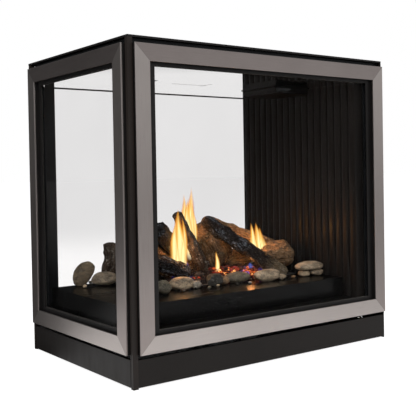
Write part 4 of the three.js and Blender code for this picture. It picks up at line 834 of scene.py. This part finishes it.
GREY_GREEN = (0.125, 0.112, 0.08)
OLIVE = (0.15, 0.125, 0.085)
PALE_GREY = (0.25, 0.23, 0.19)
SAND = (0.28, 0.225, 0.16)
BEIGE = (0.38, 0.29, 0.19)
WHITISH = (0.42, 0.37, 0.3)
DARK_GREY = (0.035, 0.034, 0.03)
ORANGE_TAN = (0.25, 0.15, 0.075)
LIGHT_TAN = (0.42, 0.325, 0.22)
DARK_TAN = (0.155, 0.115, 0.072)
BROWN = (0.14, 0.085, 0.05)

# Each stone: its middle and its size in mm, its turn in degrees, its tint and its seed, then, where they aren't 0, its
# lift in mm and its lean in degrees
STONES = {
    "river_stones_left": (
        ((142, 572), (104, 40, 64), -14, DARK_TAN, 3, 0, -52),
        ((205, 530), (88, 66, 46), -24, SAND, 4),
    ),
    "river_stones_front_left": (
        ((245, 213), (56, 50, 47), 10, GREY_GREEN, 5),
        ((264, 238), (30, 28, 26), 30, PALE_GREY, 6),
    ),
    "river_stones_beige": (
        ((347, 254), (88, 50, 46), -12, BEIGE, 7),
        ((398, 240), (32, 30, 26), 0, WHITISH, 8),
    ),
    "river_stones_middle": (
        ((488, 252), (74, 46, 44), 8, DARK_GREY, 9),
        ((527, 250), (40, 34, 30), 0, ORANGE_TAN, 10),
        ((591, 256), (104, 42, 38), -8, OLIVE, 11),
    ),
    "river_stones_front": (
        ((690, 206), (110, 46, 44), -4, LIGHT_TAN, 12),
        ((753, 202), (36, 28, 22), 12, BEIGE, 13),
    ),
    "river_stones_right": (
        ((872, 206), (46, 40, 26), 0, BEIGE, 14),
        ((926, 196), (54, 42, 26), 15, LIGHT_TAN, 15),
        ((897, 198), (118, 58, 34), -6, LIGHT_TAN, 16, 22),
    ),
}
TAN_GROUPS = ("river_stones_beige", "river_stones_front", "river_stones_right")
PEBBLES = (
    ((324, 216), (20, 16, 12), 0, BROWN, 21),
    ((429, 206), (16, 12, 9), 40, GREY_GREEN, 22),
    ((480, 224), (13, 11, 8), 10, BEIGE, 23),
    ((600, 196), (15, 12, 9), 70, PALE_GREY, 24),
    ((552, 205), (11, 9, 7), 0, DARK_GREY, 25),
    ((812, 200), (17, 13, 10), 25, ORANGE_TAN, 26),
    ((790, 226), (24, 20, 17), 0, GREY_GREEN, 27),
    ((186, 604), (16, 13, 10), 0, PALE_GREY, 28),
    ((262, 592), (46, 34, 40), 15, LIGHT_TAN, 29),
    ((306, 560), (28, 24, 20), 15, GREY_GREEN, 30),
    ((120, 520), (18, 14, 11), 50, BEIGE, 31),
    ((204, 230), (14, 11, 9), 50, BEIGE, 32),
    ((946, 236), (22, 18, 14), 50, BROWN, 33),
    ((912, 536), (52, 38, 30), 20, GREY_GREEN, 34),
    ((868, 556), (34, 28, 24), 60, BEIGE, 35),
    ((934, 488), (30, 26, 20), 0, PALE_GREY, 36),
)


def laid_stones(name, rows, slot):
    """One piece of stones laid side by side."""
    shell = Shell()
    for row in rows:
        stone(shell, *row)
    return shell.piece(name, worn_stone, slot)


for name, rows in STONES.items():
    slot = "tan_stone" if name in TAN_GROUPS else "grey_stone"
    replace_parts(laid_stones(name + "_worn", rows, slot), name)
laid_stones("small_pebbles", PEBBLES, "grey_stone")


# Grommet

PIPE_HOLE = (1076.8, 120.0, 45.0)
GROMMET_REACH = 15.4
BEAD_HALF_WIDTH = 3.2
BEAD_HALF_HEIGHT = 4.3


def grommet():
    """A rubber ring round the gas pipe: an oval bead, flattened by its second harmonic, carried round a circle."""
    turn = around(72)
    bead = np.linspace(0, 2 * np.pi, 25)[:, None]
    ring = GROMMET_REACH + BEAD_HALF_HEIGHT * np.cos(bead) * (1 - 0.12 * np.cos(2 * bead))
    x = PIPE_HOLE[0] + BEAD_HALF_WIDTH * np.sin(bead) + 0 * turn
    y = PIPE_HOLE[1] + ring * np.cos(turn)
    z = PIPE_HOLE[2] + ring * np.sin(turn)
    grid = in_frame(np.stack([x, y, z], axis=-1))
    return Shell().add(grid, closed_ends=False).piece("gas_pipe_grommet", black_plastic, None)


grommet()


# Ember bed

BURNER = (610.0, 375.0)
BURNER_HALF = (280.0, 85.0)
BED_HALF = (278.2, 83.2)
BED_REST = 196.8
BED_SECTORS = 176
BED_UNDER_RINGS = 6
BED_OVER_RINGS = 52
MOUND_HEIGHT = 36
MOUND_LUMP = 4
CRUMB_SIZE = 9.0
CRUMB_HEIGHT = 2.2

# Where the burner's flames come through: middle, half lengths and heat
HOT_SPOTS = (
    (590, 325, 62, 42, 1.0),
    (690, 310, 55, 32, 0.75),
    (385, 330, 34, 30, 0.55),
    (455, 315, 18, 16, 0.6),
    (640, 380, 70, 40, 0.4),
)
BLUE_LEFT = (400, 325, 26, 26, 0.6)
BLUE_RIGHT = (700, 305, 50, 26, 1.0)
BLUE_SHARE = 0.74

DULL_RED = np.array([0.75, 0.035, 0.012])
HOT_ORANGE = np.array([1.0, 0.24, 0.03])
HOT_YELLOW = np.array([1.0, 0.62, 0.2])
GAS_VIOLET = np.array([0.1, 0.09, 0.5])
COLD_EMBER = np.array([0.014, 0.012, 0.012])
ASHEN_EMBER = np.array([0.16, 0.13, 0.11])
WARM_EMBER = np.array([0.06, 0.012, 0.004])
CHIP_TINT = (0.012, 0.011, 0.011)

LUMPS = 820
CHIPS = 70
GOLDEN_SHARE, PLASTIC_SHARE = 0.6180339887, 0.7548776662  # their multiples fill a square evenly


def bed_top(x, y):
    """Height of the embers: a low, lumpy mound that falls with the fourth power of the distance from its middle."""
    a = (x - BURNER[0]) / BURNER_HALF[0]
    b = (y - BURNER[1]) / BURNER_HALF[1]
    away = np.minimum(1, (np.abs(a) ** 3 + np.abs(b) ** 3) ** (1 / 3))
    lumps = np.sin(a * 17) * np.cos(b * 7 + a * 3) * (1 - away)
    return PLATFORM_TOP + 1 + MOUND_HEIGHT * (1 - away**4) + MOUND_LUMP * lumps


def hill(x, y, spot):
    """A smooth hill of the normal curve's shape, from its middle, its half lengths and its top."""
    middle_x, middle_y, half_x, half_y, top = spot
    return top * np.exp(-(((x - middle_x) / half_x) ** 2) - ((y - middle_y) / half_y) ** 2)


def heat_at(x, y):
    """How hot the embers are: the highest of the hills around the hot spots."""
    heat = np.zeros(np.shape(x))
    for spot in HOT_SPOTS:
        heat = np.maximum(heat, hill(x, y, spot))
    return heat


def ember_shades(heat, blue, seed):
    """Tint and glow of the embers: the glow runs from dull red through orange to yellow as heat rises, and turns
    violet-blue where gas burns close to the bed."""
    h = np.clip(heat, 0, 1)[..., None]
    b = np.clip(blue, 0, 1)[..., None]
    hot = DULL_RED + (HOT_ORANGE - DULL_RED) * np.clip((h - 0.35) / 0.3, 0, 1)
    hot = hot + (HOT_YELLOW - HOT_ORANGE) * np.clip((h - 0.7) / 0.3, 0, 1)
    glow = hot * np.clip(h * 1.5 - 0.3, 0, 1.2)
    glow = glow * (1 - b) + GAS_VIOLET * b
    pale = soft_noise(seed * 1.0, 0.3, 0.7, 5)[..., None]
    return COLD_EMBER + pale**4 * ASHEN_EMBER + h * WARM_EMBER, glow


def mound(shell):
    """Adds the bed under the embers: rings out along its flat underside and back in over its rough top. Its outline is
    a circle pushed out to nearly a rectangle by a power of its sine and cosine."""
    sector = around(BED_SECTORS)
    square = (np.abs(np.cos(sector)) ** 10 + np.abs(np.sin(sector)) ** 10) ** -0.1
    share = np.concatenate([np.linspace(0, 1, BED_UNDER_RINGS), np.linspace(1, 0, BED_OVER_RINGS)])[:, None]
    under = (np.arange(len(share)) < BED_UNDER_RINGS)[:, None]
    x = BURNER[0] + share * BED_HALF[0] * np.cos(sector) * square
    y = BURNER[1] + share * BED_HALF[1] * np.sin(sector) * square
    crumbs = layered_noise(x / CRUMB_SIZE, y / CRUMB_SIZE, 0.5, 3, 3) * CRUMB_HEIGHT * np.clip((1 - share) * 8, 0, 1)
    z = np.where(under, BED_REST, bed_top(x, y) + crumbs)
    heat = heat_at(x, y) * np.clip(soft_noise(x / 6, y / 6, 0.1, 8) * 2 - 0.8, 0, 1)
    tint, glow = ember_shades(heat, 0 * x, x / CRUMB_SIZE + y)
    shell.add(in_frame(np.stack([x, y, z], axis=-1)), tint=tint, glow=glow)


def lump(shell, centre, size, seed, tint, glow):
    """Adds one ember: a coarse ball of five bands and seven sectors, pushed about by noise so that it looks broken."""
    lat = np.linspace(-np.pi / 2, np.pi / 2, 5)[:, None]
    lon = around(7) + seed
    x, y, z = np.cos(lat) * np.cos(lon), np.cos(lat) * np.sin(lon), np.sin(lat) + 0 * lon
    corners = (np.rint(c * 3).astype(np.int64) for c in (x, y, z))
    swell = 1 + 0.45 * (corner_number(*corners, seed) - 0.5)
    slim = 0.7 + 0.04 * (seed % 9)
    flat = 0.55 + 0.35 * ((seed * 7) % 10) / 10
    points = np.stack([x * swell, y * swell * slim, z * swell * flat], axis=-1) * size / 2
    shell.add(in_frame(points + np.array(centre)), tint=tint, glow=glow)


def ember_lumps(shell):
    """Adds the broken embers: their places fill the bed evenly, and scrambled numbers give size, height and heat."""
    serial = np.arange(LUMPS)
    x = BURNER[0] + ((serial * GOLDEN_SHARE) % 1 * 2 - 1) * (BED_HALF[0] - 9)
    y = BURNER[1] + ((serial * PLASTIC_SHARE + 0.37) % 1 * 2 - 1) * (BED_HALF[1] - 8)
    other = corner_number(serial, serial * 5, serial * 11, 9)
    size = 8 + 15 * corner_number(serial, serial * 3, serial * 7, 4) ** 2
    z = bed_top(x, y) + size * (0.05 + 0.2 * other)
    heat = np.clip(heat_at(x, y) * (0.1 + 1.3 * corner_number(serial, serial, serial * 2, 6) ** 1.6), 0, 1)
    blue = np.maximum(hill(x, y, BLUE_LEFT), hill(x, y, BLUE_RIGHT)) * (other > BLUE_SHARE)
    tint, glow = ember_shades(heat, blue, serial * 1.7)
    for k in range(LUMPS):
        lump(shell, (x[k], y[k], z[k]), size[k], k + 2, tint[k], glow[k])


def loose_chips(shell):
    """Adds cold chips that lie before the bed, fewer of them the further out and the further from its middle."""
    serial = np.arange(CHIPS)
    x = 300 + 500 * ((serial * GOLDEN_SHARE) % 1)
    y = 284 - 90 * ((serial * PLASTIC_SHARE) % 1) ** 1.6 - 0.09 * np.abs(x - 560)
    size = 5 + 7 * corner_number(serial, serial * 3, serial, 12) ** 2
    for k in range(CHIPS):
        lump(shell, (x[k], y[k], PLATFORM_TOP + size[k] * 0.3), size[k], k + 5, CHIP_TINT, (0, 0, 0))


embers = glowing_embers()
bed = Shell()
mound(bed)
ember_lumps(bed)
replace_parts(bed.piece("ember_bed_glowing", embers, "embers", smooth=False), "ember_bed")
chips = Shell()
loose_chips(chips)
chips.piece("loose_ember_chips", embers, "embers", smooth=False)


# Flames

FLAME_ROWS = 60
FLAME_COLUMNS = 25
SHEET_TURNS = (0.35, 1.4, 2.45)
WIDTH_SHARE = 1.75
SHOULDER = 0.15  # share of the rise at which a flame has its full width
FOOT = 0.16  # share of the rise over which its blue foot fades out
SWAY_WAY = np.array([1.0, 0.1, 0.0])
EMBER_RED = np.array([0.26, 0.05, 0.008])
FLAME_ORANGE = np.array([0.74, 0.2, 0.015])
FLAME_GOLD = np.array([0.98, 0.5, 0.065])
FLAME_PALE = np.array([1.0, 0.83, 0.38])
FOOT_BLUE = np.array([0.04, 0.09, 0.42])
ORANGE_CORE, GOLD_CORE, WHITE_CORE = 0.35, 0.6, 0.9


def flame_shades(core):
    """Colour from a flame's edge to its core: red, orange, gold and pale yellow, with a brighter middle."""
    low = EMBER_RED + (FLAME_ORANGE - EMBER_RED) * core / ORANGE_CORE
    middle = FLAME_ORANGE + (FLAME_GOLD - FLAME_ORANGE) * (core - ORANGE_CORE) / (GOLD_CORE - ORANGE_CORE)
    high = FLAME_GOLD + (FLAME_PALE - FLAME_GOLD) * (core - GOLD_CORE) / (1 - GOLD_CORE)
    glow = np.where(core > GOLD_CORE, high, np.where(core < ORANGE_CORE, low, middle))
    return glow * (1 + 0.12 * (core > WHITE_CORE))


def tongue(shell, base, tip, width, lean, seed, blue, dense):
    """Adds one flame: three curved sheets of rise and place across that cross on its swaying middle line. Each is full
    soon above the base and narrows to nothing at the tip. Thickness fades out at the edges, the foot and the tip, and
    streaks and wisps of soft noise make colour and thickness uneven."""
    base, tip = np.array(base, float), np.array(tip, float)
    s = np.linspace(0, 1, FLAME_ROWS)[:, None]
    w = np.linspace(-1, 1, FLAME_COLUMNS)[None, :]
    tall = np.linalg.norm(tip - base)
    half = width / WIDTH_SHARE * np.minimum(1, s / SHOULDER) ** 0.4 * (1 - s**2.8) ** 1.05
    sway = lean * np.sin(np.pi * s * 1.3) * (s**0.8) + 0.04 * tall * np.sin(5 * s + seed) * s
    middle = base + (tip - base) * s[..., None] + SWAY_WAY * sway[..., None]
    edge = 1 - np.abs(w) ** 1.7 + 0 * s
    rise = np.clip(s / FOOT, 0, 1)
    for k, turn in enumerate(SHEET_TURNS):
        flat = np.array([math.cos(turn), math.sin(turn), 0.0])
        out = np.array([-math.sin(turn), math.cos(turn), 0.0])
        flick = 1 + 0.36 * (soft_noise(s * 6 + k, 0.5, seed + 0.5, seed) - 0.5) + 0 * w
        points = middle + flat * (w * half * flick)[..., None] + out * ((w**2 - 0.4) * half * 0.35)[..., None]
        streak = soft_noise(w * 3.4 + seed * 1.7, s * 2.6, k + 0.5, seed + 3) - 0.5
        wisp = soft_noise(w * 1.6 + seed, s * 5.5, k + 0.5, seed + 7) - 0.5
        core = np.clip(edge * 1.55 * (1 - 0.7 * s**1.6) + 0.45 * streak, 0, 1)
        body = np.clip(edge * 1.6 + 0.5 * streak + 0.8 * wisp * s - 0.1, 0, 1) ** 1.3
        thick = dense * body * rise**1.2 * np.clip((1 - s) * 3.2, 0, 1)
        cool = np.clip(blue + (1 - rise) * 0.5, 0, 1)[..., None] + 0 * core[..., None]
        glow = flame_shades(core[..., None]) * (1 - cool) + FOOT_BLUE * cool
        shell.add(in_frame(points), closed_ends=False, wrap=False, glow=glow, thickness=thick)


# Each flame: base and tip, width and lean in mm, its seed, how blue and how dense it is
FLAMES = {
    "flame_left": (
        ((398, 342, 272), (387, 316, 500), 50, 5, 1, 0.0, 0.97),
        ((382, 342, 278), (370, 320, 462), 34, -4, 2, 0.0, 0.93),
        ((412, 342, 270), (402, 318, 470), 32, 4, 11, 0.0, 0.93),
    ),
    "flame_left_rear": (
        ((488, 402, 300), (494, 405, 572), 46, 4, 3, 0.0, 0.97),
        ((470, 403, 320), (459, 405, 548), 38, -5, 4, 0.0, 0.95),
        ((500, 404, 310), (503, 402, 528), 34, 3, 12, 0.0, 0.93),
        ((482, 396, 300), (480, 400, 530), 44, -3, 14, 0.0, 0.93),
    ),
    "flame_right": (
        ((750, 344, 300), (731, 345, 430), 30, -4, 5, 0.0, 0.95),
        ((784, 341, 280), (757, 345, 430), 48, -6, 6, 0.0, 0.97),
        ((798, 340, 280), (774, 343, 412), 38, -4, 13, 0.0, 0.93),
    ),
    "flame_middle": (((553, 322, 262), (550, 322, 338), 17, 2, 7, 0.0, 0.95),),
    "flame_blue": (
        ((428, 332, 262), (424, 332, 312), 20, 3, 8, 0.95, 0.5),
        ((690, 300, 262), (684, 296, 286), 24, 3, 9, 0.95, 0.4),
    ),
}
burning = gas_flame()
for name, rows in FLAMES.items():
    flame = Shell()
    for row in rows:
        tongue(flame, *row)
    flame.piece(name, burning, None).visible_shadow = False


# Light, floor and camera

FIRE_COLOUR = (1.0, 0.4, 0.11)
FIRE_SIZE = 0.012
FIRE_LIGHTS = {
    "fire_light_left": ((395, 322, 350), 0.45),
    "fire_light_rear": ((490, 395, 430), 0.3),
    "fire_light_right": ((752, 335, 385), 0.5),
    "fire_light_bed": ((688, 296, 290), 0.12),
}
STUDIO_COLOUR = (1.0, 0.985, 0.97)
STUDIO_SIZE = 2.4
STUDIO_AIM = (0, 0, 0.5)
STUDIO_LIGHTS = {
    "studio_key": ((-2.6, -3.2, 3.0), 110.0),
    "studio_fill": ((3.0, -2.6, 2.2), 45.0),
    "studio_back": ((0.4, 3.2, 3.2), 60.0),
}


def lamp(name, kind, place, energy, colour):
    """A lamp that is seen neither directly nor in mirrors or through glass."""
    data = bpy.data.lights.new(name, kind)
    data.energy = energy
    data.color = colour
    made = placed(name, data)
    made.visible_camera = made.visible_glossy = made.visible_transmission = False
    made.location = place
    return made


for name, (place, energy) in FIRE_LIGHTS.items():
    fire = lamp(name, "POINT", in_frame(place), energy, FIRE_COLOUR)
    fire.data.shadow_soft_size = FIRE_SIZE
    fire.visible_glossy = True
for name, (place, energy) in STUDIO_LIGHTS.items():
    soft = lamp(name, "AREA", place, energy, STUDIO_COLOUR)
    soft.data.shape = "DISK"
    soft.data.size = STUDIO_SIZE
    soft.rotation_euler = (Vector(STUDIO_AIM) - Vector(place)).to_track_quat("-Z", "Y").to_euler()

ANY_DEPTH = 0.5  # a ray's depth is above this once it has bounced or passed
WORLD_LEFT = (-0.36, 0.93, 0.0)
WORLD_THROUGH_GLASS = 0.84
WORLD_INSIDE_MIRRORS = 0.04
WORLD_ON_DULL_THINGS = 0.6


def studio_world():
    """Light from all round: white to the camera and nearly so through glass. Mirrors see it dimmer, the more so towards
    the zenith and the back left, and things inside the firebox mirror next to none of it."""
    world = bpy.data.worlds.new("studio_surround")
    bpy.context.scene.world = world
    world.use_nodes = True
    n = Nodes(world.node_tree)
    way = n.add("ShaderNodeTexCoord").outputs["Generated"]
    path = n.add("ShaderNodeLightPath").outputs
    fall = n.spread(n.axes(way)[2], 0, 0.4, 0.8, 0.5)
    gloss = n.times(fall, n.spread(n.dot(way, WORLD_LEFT), 0.55, 0.97, 1, 0.1))
    inside = n.sum("GREATER_THAN", path["Transmission Depth"], ANY_DEPTH)
    mirrored = n.between(inside, gloss, n.times(gloss, WORLD_INSIDE_MIRRORS))
    scattered = n.sum("GREATER_THAN", path["Diffuse Depth"], ANY_DEPTH)
    level = n.between(scattered, mirrored, WORLD_ON_DULL_THINGS)
    bounced = n.sum("ADD", path["Diffuse Depth"], path["Glossy Depth"])
    seen = n.sum("MAXIMUM", path["Is Camera Ray"], path["Is Transmission Ray"])
    seen = n.times(seen, n.sum("LESS_THAN", bounced, ANY_DEPTH))
    bright = n.between(path["Is Transmission Ray"], 1, WORLD_THROUGH_GLASS)
    sky = n.add("ShaderNodeBackground", {"Color": (1, 1, 1), "Strength": n.between(seen, level, bright)})
    n.add("ShaderNodeOutputWorld", {"Surface": sky.outputs[0]})


FLOOR_REACH = 60
FLOOR_TO_CAMERA = 0.8
FLOOR_THROUGH_GLASS = 0.56
FLOOR_BACK_LEFT = (-0.6, 0.8, 0)
FLOOR_ASIDE = (0.8, 0.6, 0)


def floor_finish():
    """Pale floor that glows to white for the camera, and as bright as the world through glass. Mirrors see it glow by
    how far off and how far aside it is, and see it dark at the back left, where the studio has no light."""
    f = Finish("pale_studio_floor", Specular=0, Roughness=0.9)
    path = f.add("ShaderNodeLightPath").outputs
    away = f.add("ShaderNodeVectorMath", {0: f.place}, operation="LENGTH").outputs["Value"]
    aside = f.dot(f.place, FLOOR_ASIDE)
    outside = f.sum("LESS_THAN", path["Transmission Depth"], ANY_DEPTH)
    inside = f.sum("GREATER_THAN", path["Transmission Depth"], ANY_DEPTH)
    glossy = f.sum("GREATER_THAN", path["Glossy Depth"], ANY_DEPTH)
    undimmed = f.sum("LESS_THAN", path["Diffuse Depth"], ANY_DEPTH)
    direct = f.sum("LESS_THAN", f.sum("ADD", path["Diffuse Depth"], path["Glossy Depth"]), ANY_DEPTH)

    dark = f.times(f.spread(f.dot(f.place, FLOOR_BACK_LEFT), 0.3, 0.5), f.spread(aside, -0.44, -0.28))
    dark = f.times(dark, f.sum("MAXIMUM", outside, f.spread(away, 2.5, 4, 1, 0)))
    dark = f.times(dark, glossy)
    pale = f.two_tone(f.noise(3, 3), (0.44, 0.44, 0.44), (0.46, 0.46, 0.46))
    f.paint(f.blend(dark, pale, (0.03, 0.03, 0.03)))

    plain = f.weighted(path["Is Camera Ray"], FLOOR_TO_CAMERA, path["Is Transmission Ray"], FLOOR_THROUGH_GLASS)
    near = f.times(f.spread(away, 1, 2.6, 0.62, 0.05), f.spread(aside, -0.65, 0.2, 1.15, 0.7))
    glow = f.between(inside, near, f.spread(away, 4, 7, 0, 0.6))
    glow = f.times(glow, f.spread(dark, 0, 1, 1, 0.05))
    mirrored = f.times(f.times(glossy, undimmed), glow)
    f.put("Emission Color", (1, 1, 1))
    f.put("Emission Strength", f.sum("ADD", f.times(plain, direct), mirrored))
    return f.material


def studio_floor():
    """A square of floor that reaches beyond the horizon."""
    mesh = bpy.data.meshes.new("studio_floor")
    corners = [(x * FLOOR_REACH, y * FLOOR_REACH, 0) for x, y in ((-1, -1), (1, -1), (1, 1), (-1, 1))]
    mesh.from_pydata(corners, [], [(0, 1, 2, 3)])
    mesh.materials.append(floor_finish())
    placed("studio_floor", mesh)


EYE = (-1.64701, -2.22008, 0.62334)
YAW, PITCH, ROLL = 0.63813, -0.01745, -0.01745
LENS, SENSOR = 65.805, 36.0
SHIFT_UP = -0.0547
NEAR_CLIP = 0.05


def photograph_view():
    """The camera at the photograph's angle: it looks yaw radians to the right of straight back, pitched and rolled."""
    ahead = np.array([math.sin(YAW) * math.cos(PITCH), math.cos(YAW) * math.cos(PITCH), math.sin(PITCH)])
    level_right = np.array([math.cos(YAW), -math.sin(YAW), 0.0])
    level_up = np.cross(level_right, ahead)
    right = level_right * math.cos(ROLL) + level_up * math.sin(ROLL)
    above = -level_right * math.sin(ROLL) + level_up * math.cos(ROLL)
    data = bpy.data.cameras.new("photograph_view")
    data.lens, data.sensor_width = LENS, SENSOR
    data.shift_y = SHIFT_UP
    data.clip_start = NEAR_CLIP
    camera = placed("photograph_view", data)
    rows = [[right[k], above[k], -ahead[k], EYE[k]] for k in range(3)]
    camera.matrix_world = Matrix(rows + [[0, 0, 0, 1]])
    return camera


studio_world()
studio_floor()
bpy.context.scene.camera = photograph_view()
bpy.context.scene.view_settings.view_transform = "Standard"
